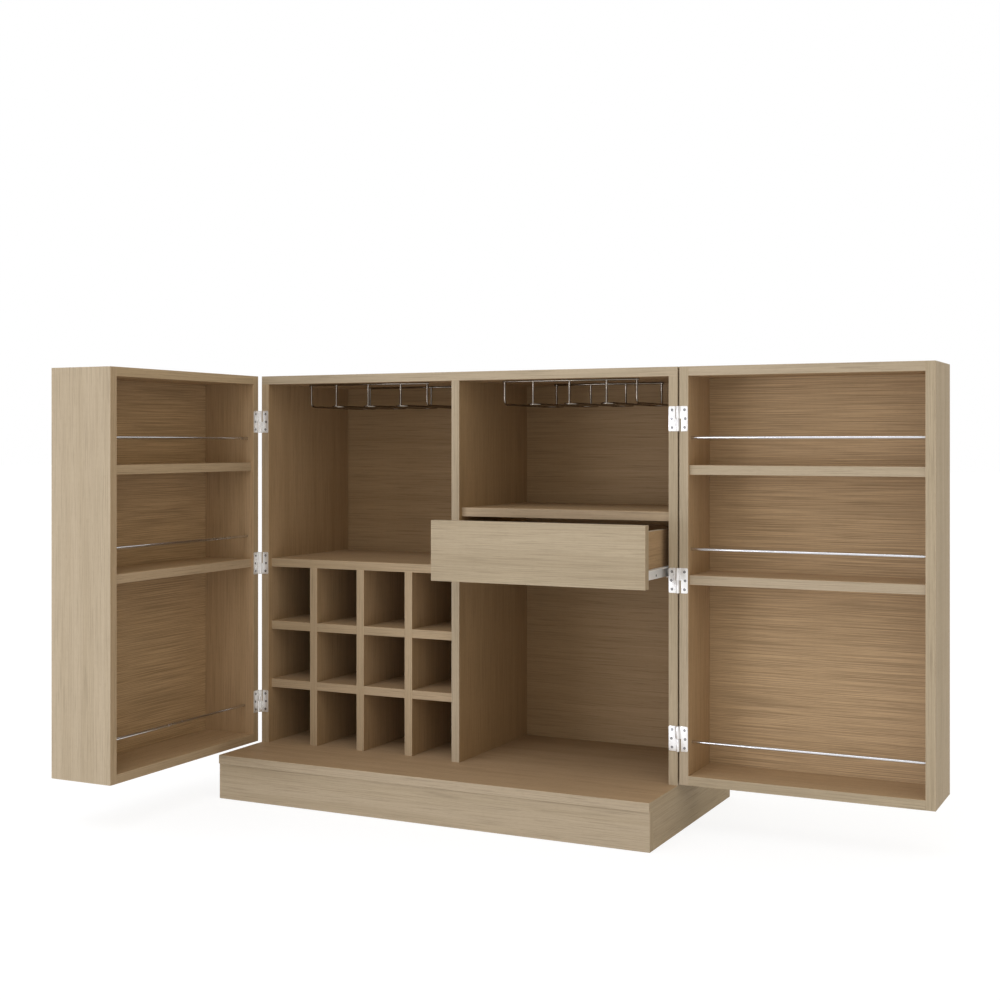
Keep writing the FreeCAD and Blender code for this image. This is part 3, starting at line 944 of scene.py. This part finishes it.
@dataclass
class ScrewSet(Part):
    """The countersunk screws of one node, with a cross recess in each raised head."""

    node: str
    body: str
    solid_sides: int = 6
    head_radius: float = 0.0021
    head_depth: float = 0.0013
    core_radius: float = 0.0010
    core_share: float = 0.7
    crown: float = 0.00022
    brim_share: float = 0.25
    brim_rise_share: float = 0.6
    recess_reach: float = 0.00125
    recess_heart: float = 0.00045
    recess_depth: float = 0.00085
    recess_taper: float = 0.8
    arm_angle: float = math.radians(10.0)
    segments: int = 24

    def pieces(self) -> Iterator[Piece]:
        """Makes the screws where the node's solids are, as one piece."""
        shape = joined(self._screw(corners) for corners in solids_of(self.node))
        yield Piece(shape, "steel", self.node, self.body, Slot.SCREW_STEEL)

    def _screw(self, corners: list[Vector]) -> BMesh:
        """One screw, drawn upright and laid where its flat-sided solid is.

        Args:
            corners: The solid's corners.

        Returns:
            The screw.
        """
        middle = mean(corners)
        tip = max(corners, key=lambda corner: (corner - middle).length)
        seat = mean(sorted(corners, key=lambda corner: (corner - tip).length)[-self.solid_sides:])
        length = (tip - seat).length
        taper = [(self.head_radius, 0.0), (self.core_radius, -self.head_depth)]
        taper += [(self.core_radius, -self.core_share * length), (0.0, -length)]
        bm = turned(taper, self.segments)
        recess = bm.faces.layers.float.new(RECESS_LAYER)
        ring = {"segments": self.segments, "radius": self.head_radius}
        rim = bmesh.ops.create_circle(bm, cap_ends=True, **ring)
        disc = rim["verts"][0].link_faces[0]
        brim = self.brim_share * self.head_radius
        brow = (1.0 - self.brim_share) * self.head_radius - self.recess_reach
        self._draw_in(bm, disc, brim, self.brim_rise_share * self.crown)
        self._draw_in(bm, disc, brow, (1.0 - self.brim_rise_share) * self.crown)
        arms = [disc]
        for face in self._draw_in(bm, disc, self.recess_reach - self.recess_heart, 0.0):
            middle = face.calc_center_median()
            turn = math.atan2(middle.y, middle.x) % QUARTER_TURN
            if min(turn, QUARTER_TURN - turn) < self.arm_angle:
                arms.append(face)
        rims = {edge for face in arms for edge in face.edges}
        floor = only(BMVert, bmesh.ops.extrude_face_region(bm, geom=arms + list(rims)))
        bmesh.ops.translate(bm, verts=floor, vec=(0.0, 0.0, -self.recess_depth))
        bmesh.ops.scale(bm, verts=floor, vec=(self.recess_taper, self.recess_taper, 1.0))
        bmesh.ops.remove_doubles(bm, verts=bm.verts, dist=MERGE_DISTANCE)
        bmesh.ops.recalc_face_normals(bm, faces=bm.faces)
        # The recess faces are marked for painted shade.
        for face in bm.faces:
            middle = face.calc_center_median()
            inside = math.hypot(middle.x, middle.y) < self.recess_reach
            face[recess] = float(inside and -self.head_depth < middle.z < 0.0)
        return moved(softened(bm), towards(seat, seat + (seat - tip)))

    @staticmethod
    def _draw_in(bm: BMesh, face: BMFace, inwards: float, rise: float) -> list[BMFace]:
        """Draws a face in and moves it up.

        Args:
            bm: The mesh that holds the face.
            face: The face to draw in.
            inwards: How far its rim moves in.
            rise: How far it moves up.

        Returns:
            The new faces round it.
        """
        ways = {"use_even_offset": True, "use_boundary": True}
        made = bmesh.ops.inset_region(bm, faces=[face], thickness=inwards, **ways)
        bmesh.ops.translate(bm, verts=face.verts, vec=(0.0, 0.0, rise))
        return made["faces"]


# Plinth, carcass and drawer


ACROSS = (Facing.LEFT, Facing.RIGHT)
LEVEL = (Facing.UP, Facing.DOWN)
# How much painted shade the inner faces of each set get.
PLINTH_SHADE = 1.6
DEEP_SHADE = {"shade": 2.0}
DEEP_SHADE_EDGED = {**DEEP_SHADE, "half_shaded": (Facing.FRONT,)}


@dataclass
class BoardSet(Part):
    """A sub-assembly of boards alone."""

    boards: tuple[Board, ...]

    def pieces(self) -> Iterator[Piece]:
        """Makes the boards, one after another."""
        for board in self.boards:
            yield from board.pieces()


@dataclass
class Plinth(BoardSet):
    """The low frame of boards that the cabinet stands on."""

    boards: tuple[Board, ...] = (
        Board("plinth_top_board", "cabinet", Axis.X, (Facing.UP,), shade=PLINTH_SHADE),
        *(Board(f"plinth_{name}_board", "cabinet", Axis.X) for name in ("front", "back")),
        *(Board(f"plinth_{side.value}_board", "cabinet", Axis.Y) for side in Side),
        Board("plinth_centre_rail", "cabinet", Axis.Y),
    )


@dataclass
class Carcass(BoardSet):
    """The sides, top, back, divider and shelves of the cabinet, and its grid of cells."""

    boards: tuple[Board, ...] = (
        Board("left_side_panel", "cabinet", Axis.Z, (Facing.RIGHT,), **DEEP_SHADE_EDGED),
        Board("right_side_panel", "cabinet", Axis.Z, (Facing.LEFT,), **DEEP_SHADE),
        Board("centre_divider", "cabinet", Axis.Z, ACROSS, **DEEP_SHADE),
        Board("top_panel", "cabinet", Axis.X, (Facing.DOWN,), **DEEP_SHADE),
        Board("back_panel", "cabinet", Axis.X, (Facing.FRONT,), Slot.OAK_BACK, **DEEP_SHADE),
        *(
            Board(name, "cabinet", Axis.X, LEVEL, **DEEP_SHADE_EDGED)
            for name in ("left_shelf", "drawer_shelf", "wine_shelf_lower", "wine_shelf_upper")
        ),
        *(
            Board("wine_upright_" + name, "cabinet", Axis.Z, ACROSS, **DEEP_SHADE_EDGED)
            for name in ("left", "middle", "right")
        ),
    )


@dataclass
class Drawer(BoardSet):
    """The drawer's boards, which slide with it."""

    boards: tuple[Board, ...] = (
        Board("drawer_front", "drawer", Axis.X, (Facing.BACK,), lines=0.25),
        *(Board(f"drawer_{side.value}_side", "drawer", Axis.Y, ACROSS) for side in Side),
        Board("drawer_back", "drawer", Axis.X, (Facing.FRONT,)),
        Board("drawer_bottom", "drawer", Axis.X, (Facing.UP,), Slot.OAK_BACK),
    )


# Doors


@dataclass
class Door(Part):
    """One deep door with its shelves and rails."""

    side: Side
    width_axis: Axis
    outwards: Facing
    homewards: Facing
    opening: Facing
    shaded_edges: tuple[Facing, ...] = ()
    panel_lines: float = 0.85
    board_lines: float = 0.2
    rail_radius: float = 0.00225
    rail_end_round: float = 0.0006

    def pieces(self) -> Iterator[Piece]:
        """Makes the boards, the rails and the screws.

        Returns:
            The door's pieces.
        """
        body = self.side.value + "_door"
        for name, grain, inner in (
            ("hinge_stile", Axis.Z, (self.outwards,)),
            ("free_stile", Axis.Z, (self.homewards,)),
            ("top", self.width_axis, (Facing.DOWN,)),
            ("bottom", self.width_axis, (Facing.UP,)),
            ("outer_panel", self.width_axis, (self.opening,)),
            ("upper_shelf", self.width_axis, LEVEL),
            ("lower_shelf", self.width_axis, LEVEL),
        ):
            lines = self.panel_lines if name == "outer_panel" else self.board_lines
            shades = {"half_shaded": self.shaded_edges, "inner_lines": lines}
            yield from Board(f"{body}_{name}", body, grain, inner, **shades).pieces()
        node = body + "_rails"
        yield Piece(joined(map(self._rail, solids_of(node))), "steel", node, body, Slot.RAIL_STEEL)
        yield from ScrewSet(body + "_hinge_screws", body).pieces()

    def _rail(self, corners: list[Vector]) -> BMesh:
        """One round rail, laid where its flat-sided solid is.

        Args:
            corners: The solid's corners.

        Returns:
            The rail.
        """
        places = sorted(corners, key=lambda corner: corner[self.width_axis.value])
        half = len(places) // 2
        ends = mean(places[:half]), mean(places[half:])
        return round_bar(*ends, self.rail_radius, self.rail_end_round)


# Hinges


@dataclass
class HingeSet(Part):
    """The lift-off hinges of both doors, made for the right side of the closed cabinet."""

    axis_x: float = 0.4015
    axis_y: float = -0.0765
    leaf_face: float = -0.0735
    leaf_edge: float = 0.3855
    levels: Triple = (0.151, 0.4024965, 0.660)
    height: float = 0.040
    leaf_thickness: float = 0.0012
    leaf_round: float = 0.00022
    leaf_round_steps: int = 3
    corner_cut: float = 0.0015
    knuckle_radius: float = 0.00275
    knuckle_round: float = 0.0004
    knuckle_gap: float = 0.0002
    notch_gap: float = 0.0018
    pin_radius: float = 0.00125
    pin_play: float = 0.00005
    pin_end_inset: float = 0.0006
    pin_end_round: float = 0.0004
    left_turn: float = -QUARTER_TURN
    right_turn: float = HALF_TURN
    segments: int = 36

    def pieces(self) -> Iterator[Piece]:
        """Makes the leaves of the body and of both doors, and the body's screws.

        Returns:
            The hinges' pieces.
        """
        mirror = Matrix.Scale(-1.0, 4, Facing.RIGHT.value)
        right_swing = turn_about(self._on_axis(0.0), self.right_turn, Axis.Z)
        left_swing = turn_about(mirror @ self._on_axis(0.0), self.left_turn, Axis.Z) @ mirror
        body = []
        for level in self.levels:
            body += [self._body_half(level), moved(self._body_half(level), mirror)]
        yield Piece(joined(body), "nickel", "body_hinge_leaves", "cabinet", Slot.HINGE_NICKEL)
        for door, swing in (("left_door", left_swing), ("right_door", right_swing)):
            leaves = joined(moved(self._door_half(level), swing) for level in self.levels)
            yield Piece(leaves, "nickel", door + "_hinge_leaves", door, Slot.HINGE_NICKEL)
        yield from ScrewSet("body_hinge_screws", "cabinet").pieces()

    def _on_axis(self, height: float) -> Vector:
        """A point on the hinge axis."""
        return Vector((self.axis_x, self.axis_y, height))

    def _half(self, level: float, bore: float) -> BMesh:
        """A leaf with the knuckle at its lower half and a notch beside the other half's knuckle.

        Args:
            level: The height of the hinge's middle.
            bore: The radius of the hole through the knuckle.

        Returns:
            The leaf with its knuckle.
        """
        low = level - self.height / 2.0
        high = level + self.height / 2.0
        rim = level - self.knuckle_gap / 2.0
        cut, edge = self.corner_cut, self.leaf_edge
        notch = self.axis_x - self.knuckle_radius - self.notch_gap
        outline = [(self.axis_x, low), (edge + cut, low), (edge, low + cut), (edge, high - cut)]
        outline += [(edge + cut, high), (notch, high), (notch, rim), (self.axis_x, rim)]
        bm = bmesh.new()
        face = bm.faces.new([bm.verts.new((x, self.leaf_face, z)) for x, z in outline])
        lifted = only(BMVert, bmesh.ops.extrude_face_region(bm, geom=[face]))
        bmesh.ops.translate(bm, verts=lifted, vec=(0.0, -self.leaf_thickness, 0.0))
        bmesh.ops.recalc_face_normals(bm, faces=bm.faces)
        rounded_edges(bm, self.leaf_round, segments=self.leaf_round_steps)
        half = ((bore, 0.0), *soft_rim(self.knuckle_radius, self.knuckle_round))
        knuckle = turned(both_ends(half, low, rim), self.segments, closed=True)
        return joined((softened(bm), moved(knuckle, Matrix.Translation(self._on_axis(0.0)))))

    def _body_half(self, level: float) -> BMesh:
        """The body's leaf, with its knuckle below and the pin.

        Args:
            level: The height of the hinge's middle.

        Returns:
            The half.
        """
        foot = self._on_axis(level - self.height / 2.0 + self.pin_end_inset)
        top = self._on_axis(level + self.height / 2.0 - self.pin_end_inset)
        pin = round_bar(foot, top, self.pin_radius, self.pin_end_round)
        return joined((self._half(level, self.pin_radius), pin))

    def _door_half(self, level: float) -> BMesh:
        """The door's leaf, turned over so that its bored knuckle is above, on the closed door."""
        half = self._half(level, self.pin_radius + self.pin_play)
        return moved(half, turn_about(self._on_axis(level), HALF_TURN, Axis.X))


# Hanging racks


@dataclass
class HangingRack(Part):
    """A hanging rack of one bent wire, its droppers and its top bars."""

    side: Side
    centre: float
    wire_radius: float = 0.00175
    slots: int = 4
    slot_width: float = 0.040
    loop_width: float = 0.027
    front: float = -0.036
    back: float = 0.1365
    ceiling: float = 0.728
    drop: float = 0.041
    bend_radius: float = 0.008
    bend_step: float = math.radians(7.5)
    fewest_steps: int = 6
    bar_overhang: float = 0.004
    bar_end_round: float = 0.0006
    tab_width: float = 0.014
    tab_length: float = 0.016
    tab_thickness: float = 0.0015
    tab_corner: float = 0.003
    tab_corner_steps: int = 6
    tab_round: float = 0.0002
    weld_swell: float = 0.0006
    weld_reach: float = 0.0022
    weld_hold_share: float = 0.8
    neck_swell_share: float = 0.25
    neck_reach_share: float = 0.7
    segments: int = 20

    def __post_init__(self) -> None:
        """Works out the levels of the wires and the places of the slots and front loops."""
        pitch = self.slot_width + self.loop_width
        self.run_level = self.ceiling - self.drop
        self.bar_level = self.ceiling - self.wire_radius
        self.half_width = (self.slots * pitch - self.loop_width) / 2.0
        first = self.centre - self.half_width + self.slot_width / 2.0
        self.slot_places = [first + slot * pitch for slot in range(self.slots)]
        self.loop_places = [place + pitch / 2.0 for place in self.slot_places[:-1]]

    def pieces(self) -> Iterator[Piece]:
        """Makes the runner and the hangers, one after another."""
        for name, shape in (("_rack_runner", self._runner()), ("_rack_hangers", self._hangers())):
            yield Piece(shape, "chrome", self.side.value + name, "cabinet", Slot.RACK_CHROME)

    def _runner(self) -> BMesh:
        """The wire that runs down, back and forth round the slots, and up again.

        Returns:
            The bent wire.
        """
        bm = bmesh.new()
        x = self.centre - self.half_width
        start = Matrix.Translation((x, self.front, self.bar_level))
        shape = {"segments": self.segments, "radius": self.wire_radius, "matrix": start}
        ring = bmesh.ops.create_circle(bm, **shape)
        rim = list({edge for corner in ring["verts"] for edge in corner.link_edges})
        bmesh.ops.contextual_create(bm, geom=rim)
        low, high = self.run_level, self.run_level + self.bend_radius
        reach = first_reach = self.front + self.bend_radius
        slot_turn, loop_turn = self.slot_width / 2.0, self.loop_width / 2.0
        turn_back = self.back - slot_turn
        rim = self._straight(bm, rim, (0.0, 0.0, high - self.bar_level))
        rim = self._bend(bm, rim, (x, first_reach, high), Facing.RIGHT, QUARTER_TURN)
        for slot in range(self.slots):
            rim = self._straight(bm, rim, (0.0, turn_back - reach, 0.0))
            rim = self._bend(bm, rim, (x + slot_turn, turn_back, low), Facing.UP, -HALF_TURN)
            x += self.slot_width
            if slot < self.slots - 1:
                reach = self.front + loop_turn
                rim = self._straight(bm, rim, (0.0, reach - turn_back, 0.0))
                rim = self._bend(bm, rim, (x + loop_turn, reach, low), Facing.UP, HALF_TURN)
                x += self.loop_width
        rim = self._straight(bm, rim, (0.0, first_reach - turn_back, 0.0))
        rim = self._bend(bm, rim, (x, first_reach, high), Facing.RIGHT, -QUARTER_TURN)
        rim = self._straight(bm, rim, (0.0, 0.0, self.bar_level - high))
        bmesh.ops.contextual_create(bm, geom=rim)
        bmesh.ops.recalc_face_normals(bm, faces=bm.faces)
        return softened(bm)

    @staticmethod
    def _straight(bm: BMesh, rim: list[BMEdge], run: Triple) -> list[BMEdge]:
        """Draws the open end of the wire straight on.

        Args:
            bm: The wire's mesh.
            rim: The edges of its open end.
            run: How far the end moves.

        Returns:
            The edges of the new end.
        """
        made = bmesh.ops.extrude_edge_only(bm, edges=rim)
        ends = set(only(BMVert, made))
        bmesh.ops.translate(bm, verts=list(ends), vec=run)
        return [edge for edge in only(BMEdge, made) if ends.issuperset(edge.verts)]

    def _bend(
        self, bm: BMesh, rim: list[BMEdge], centre: Triple, axis: Facing, turn: float
    ) -> list[BMEdge]:
        """Draws the open end of the wire round a bend.

        Args:
            bm: The wire's mesh.
            rim: The edges of its open end.
            centre: The middle of the bend.
            axis: The direction of the axis that the bend turns about.
            turn: How far it turns, in radians.

        Returns:
            The edges of the new end.
        """
        corners = list({corner for edge in rim for corner in edge.verts})
        steps = max(self.fewest_steps, round(abs(turn) / self.bend_step))
        bend = {"cent": centre, "axis": axis.value, "angle": turn, "steps": steps}
        made = bmesh.ops.spin(bm, geom=corners + rim, use_merge=False, use_duplicate=False, **bend)
        return only(BMEdge, made, "geom_last")

    def _hangers(self) -> BMesh:
        """The top bars with their tabs, and the droppers between the bars and the runner.

        Returns:
            The hangers.
        """
        parts = []
        slots, loops = self.slot_places, self.loop_places
        for y, half, tabs, droppers in (
            (self.front, self.half_width + self.bar_overhang, slots[1:-1], loops),
            (self.back, slots[-1] - self.centre + self.bar_overhang, (loops[0], loops[-1]), slots),
        ):
            ends = [Vector((self.centre + end, y, self.bar_level)) for end in (-half, half)]
            parts.append(round_bar(*ends, self.wire_radius, self.bar_end_round, self.segments))
            parts += [self._tab(x, y) for x in tabs]
            parts += [moved(self._dropper(), Matrix.Translation((x, y, 0.0))) for x in droppers]
        return joined(parts)

    def _tab(self, x: float, y: float) -> BMesh:
        """A flat tab behind a bar, with rounded corners.

        Args:
            x: The tab's middle.
            y: The bar's place.

        Returns:
            The tab against the ceiling.
        """
        bm = bmesh.new()
        size = Matrix.Diagonal((self.tab_width, self.tab_length, self.tab_thickness, 1.0))
        middle = Vector((x, y + self.tab_length / 2.0, self.ceiling - self.tab_thickness / 2.0))
        bmesh.ops.create_cube(bm, size=1.0, matrix=Matrix.Translation(middle) @ size)
        corners = []
        for edge in bm.edges:
            one, other = [corner.co for corner in edge.verts]
            if abs(one.z - other.z) > self.tab_thickness / 2.0 and one.y > middle.y:
                corners.append(edge)
        bevel(bm, corners, self.tab_corner, self.tab_corner_steps)
        rounded_edges(bm, self.tab_round)
        return softened(bm)

    def _dropper(self) -> BMesh:
        """An upright wire that is welded to the runner and to a bar.

        Returns:
            The dropper, on the Z axis.
        """
        wire = self.wire_radius
        weld = wire + self.weld_reach
        thick = wire + self.weld_swell
        neck = (wire + self.neck_swell_share * self.weld_swell, self.neck_reach_share * weld)
        half = ((0.0, 0.0), (thick, 0.0), (thick, self.weld_hold_share * wire), neck, (wire, weld))
        return turned(both_ends(half, self.run_level, self.bar_level), self.segments)


# Drawer slides


@dataclass
class DrawerSlides(Part):
    """The roller slides: the cabinet's channels, the drawer's runners and their rollers."""

    fold_round: float = 0.0004
    fold_steps: int = 3
    shortest_fold: float = 0.030
    roller_radius: float = 0.0065
    roller_width: float = 0.006
    bore_radius: float = 0.00205
    rim_round: float = 0.0005
    dish_depth: float = 0.0004
    dish_start: float = 0.0034
    dish_end: float = 0.0056
    segments: int = 48

    def pieces(self) -> Iterator[Piece]:
        """Makes the profiles, the rollers and the screws.

        Returns:
            The slides' pieces.
        """
        for side in Side:
            for name, body in (("cabinet_channel", "cabinet"), ("drawer_runner", "drawer")):
                node = f"{side.value}_{name}"
                bm = merged_copy(node)
                rounded_edges(bm, self.fold_round, self.shortest_fold, self.fold_steps)
                yield Piece(softened(bm), "coated", node, body, Slot.SLIDE_WHITE)
        for node in ("front_rollers", "rear_rollers"):
            yield Piece(self._rollers(node), "nylon", node, node, Slot.ROLLER_NYLON)
        yield from ScrewSet("cabinet_channel_screws", "cabinet").pieces()
        yield from ScrewSet("drawer_runner_screws", "drawer").pieces()

    def _rollers(self, node: str) -> BMesh:
        """Dished rollers with rounded rims.

        Args:
            node: The rollers' node.

        Returns:
            The rollers.
        """
        dish = self.dish_depth
        half = [(self.bore_radius, 0.0), (self.dish_start, 0.0), (self.dish_start + dish, dish)]
        half += [(self.dish_end - dish, dish), (self.dish_end, 0.0)]
        half += soft_rim(self.roller_radius, self.rim_round)
        profile = both_ends(half, 0.0, self.roller_width)
        arm = Vector((self.roller_width / 2.0, 0.0, 0.0))
        rollers = []
        for middle in map(mean, solids_of(node)):
            roller = turned(profile, self.segments, closed=True)
            rollers.append(moved(roller, towards(middle - arm, middle + arm)))
        return joined(rollers)


# Studio


@dataclass(frozen=True)
class Lamp:
    """One soft area lamp that looks at the armoire."""

    name: str
    place: Triple
    target: Triple
    size: tuple[float, float]
    power: float
    colour: Colour = (0.98, 1.01, 1.12)

    def build(self) -> None:
        """Hangs the lamp."""
        data = bpy.data.lights.new(self.name, "AREA")
        data.shape = "RECTANGLE"
        data.size, data.size_y = self.size
        data.energy = self.power
        data.color = self.colour
        lamp = bpy.data.objects.new(self.name, data)
        lamp.location = self.place
        direction = Vector(self.target) - Vector(self.place)
        lamp.rotation_euler = direction.to_track_quat("-Z", "Y").to_euler()
        bpy.context.scene.collection.objects.link(lamp)


@dataclass
class Studio:
    """The camera, the pale floor and the soft light."""

    camera_place: Triple = (1.1918, -2.3180, 0.6205)
    camera_turn: Triple = (QUARTER_TURN, 0.0, math.radians(25.898))
    lens: float = 53.51
    sensor: float = 36.0
    shift: tuple[float, float] = (-0.00905, -0.05649)
    view_reach: float = 200.0
    floor_size: float = 60.0
    floor_drop: float = 0.0004
    floor_colour: Colour = (0.90, 0.90, 0.90)
    shadow_share: Colour = (0.22, 0.22, 0.22)
    floor_glow: float = 0.85
    sky_colour: Colour = (0.99, 1.0, 1.02)
    warm_end_colour: Colour = (1.0, 0.90, 0.72)
    warm_span: Span = (-0.1, 0.8)
    sky_level: float = 0.93
    end_light: float = 0.75
    light_span: Span = (0.3, 1.0)
    end_mirror: float = 0.38
    mirror_span: Span = (0.45, 0.9)
    lamps: tuple[Lamp, ...] = (
        Lamp("left_box", (-3.4, -1.75, 1.3), (0.1, 0.0, 0.4), (1.6, 1.6), 13.0),
        Lamp("low_box", (-1.9, -3.3, 0.35), (0.1, 0.0, 0.35), (1.6, 0.7), 25.0),
        Lamp("top_box", (0.1, -2.2, 3.2), (0.1, 0.0, 0.4), (2.0, 1.5), 16.0),
    )

    def build(self) -> None:
        """Sets up the view and the light."""
        bpy.context.scene.view_settings.view_transform = "Standard"
        self._camera()
        self._floor()
        self._sky()
        for lamp in self.lamps:
            lamp.build()

    def _camera(self) -> None:
        """Places the camera."""
        data = bpy.data.cameras.new("camera")
        data.sensor_width = self.sensor
        data.lens = self.lens
        data.shift_x, data.shift_y = self.shift
        data.clip_end = self.view_reach
        camera = bpy.data.objects.new("camera", data)
        camera.location = self.camera_place
        camera.rotation_euler = self.camera_turn
        bpy.context.scene.collection.objects.link(camera)
        bpy.context.scene.camera = camera

    def _floor(self) -> None:
        """Lays the floor, which shows white with a faint shadow and lights the part as if matt."""
        bm = bmesh.new()
        place = Matrix.Translation((0.0, 0.0, -self.floor_drop))
        grid = {"x_segments": 1, "y_segments": 1, "size": self.floor_size / 2.0}
        bmesh.ops.create_grid(bm, matrix=place, **grid)
        mesh = bpy.data.meshes.new("floor")
        bm.to_mesh(mesh)
        bm.free()
        floor = bpy.data.objects.new("floor", mesh)
        bpy.context.scene.collection.objects.link(floor)
        floor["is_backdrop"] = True
        material = bpy.data.materials.new("pale_floor")
        bench = Bench.cleared(material)
        matt = bench.put("BsdfDiffuse", {"Color": self.floor_colour}).outputs[0]
        shade = bench.put("BsdfDiffuse", {"Color": self.shadow_share}).outputs[0]
        glow = bench.put("Emission", {"Color": WHITE, "Strength": self.floor_glow}).outputs[0]
        shown = bench.put("AddShader", {0: shade, 1: glow}).outputs[0]
        rays = bench.put("LightPath").outputs
        seen = bench.sum("MAXIMUM", rays["Is Camera Ray"], rays["Is Glossy Ray"])
        seen = bench.sum("MAXIMUM", seen, rays["Is Transmission Ray"])
        bench.put("OutputMaterial", {"Surface": bench.mix(seen, matt, shown)})
        mesh.materials.append(material)

    def _sky(self) -> None:
        """Makes the white surroundings and their even light, which falls off towards both ends."""
        world = bpy.data.worlds.new("studio")
        bench = Bench.cleared(world)
        rightwards = bench.split(bench.put("TexCoord").outputs["Generated"])[0]
        endwards = bench.sum("ABSOLUTE", rightwards)
        warmth = bench.remap(rightwards, self.warm_span)
        tinted = bench.tint(warmth, self.sky_colour, self.warm_end_colour)
        levels = (self.sky_level, self.sky_level * self.end_light)
        lit = bench.remap(endwards, self.light_span, levels)
        mirrored = bench.remap(endwards, self.mirror_span, (1.0, self.end_mirror))
        lit_sky, mirrored_sky, shown_sky = [
            bench.put("Background", {"Color": colour, "Strength": level}).outputs[0]
            for colour, level in ((tinted, lit), (WHITE, mirrored), (WHITE, 1.0))
        ]
        rays = bench.put("LightPath").outputs
        surface = bench.mix(rays["Is Glossy Ray"], lit_sky, mirrored_sky)
        for ray in ("Is Transmission Ray", "Is Camera Ray"):
            surface = bench.mix(rays[ray], surface, shown_sky)
        bench.put("OutputWorld", {"Surface": surface})
        bpy.context.scene.world = world


# Assembly


SIDE_PANEL_FACE = 0.385
DIVIDER_FACE = 0.0075
COMPARTMENT_MIDDLE = (SIDE_PANEL_FACE + DIVIDER_FACE) / 2.0


def write_sizes() -> None:
    """Works out the box of the solids and the box of the dressed armoire.
    """
    boxes = {"solids": CAD_BOX, "dressed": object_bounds()}
    {name: [list(corner) for corner in box] for name, box in boxes.items()}


def main() -> None:
    """Builds and dresses the armoire, sub-assembly by sub-assembly."""
    logging.basicConfig(level=logging.INFO, format="%(message)s")
    Studio().build()
    finishes = FinishRack()
    finishes.dress_solid("carcass_dowels", Slot.DOWEL_BEECH)
    for part in (
        Plinth(),
        Carcass(),
        Door(Side.LEFT, Axis.Y, Facing.FRONT, Facing.BACK, Facing.RIGHT, (Facing.RIGHT,)),
        Door(Side.RIGHT, Axis.X, Facing.RIGHT, Facing.LEFT, Facing.FRONT),
        HingeSet(),
        HangingRack(Side.LEFT, -COMPARTMENT_MIDDLE),
        HangingRack(Side.RIGHT, COMPARTMENT_MIDDLE),
        ScrewSet("rack_screws", "cabinet"),
        Drawer(),
        DrawerSlides(),
    ):
        part.build(finishes)
        LOG.info("%s is finished", type(part).__name__)
    write_sizes()


if __name__ == "__main__":
    main()
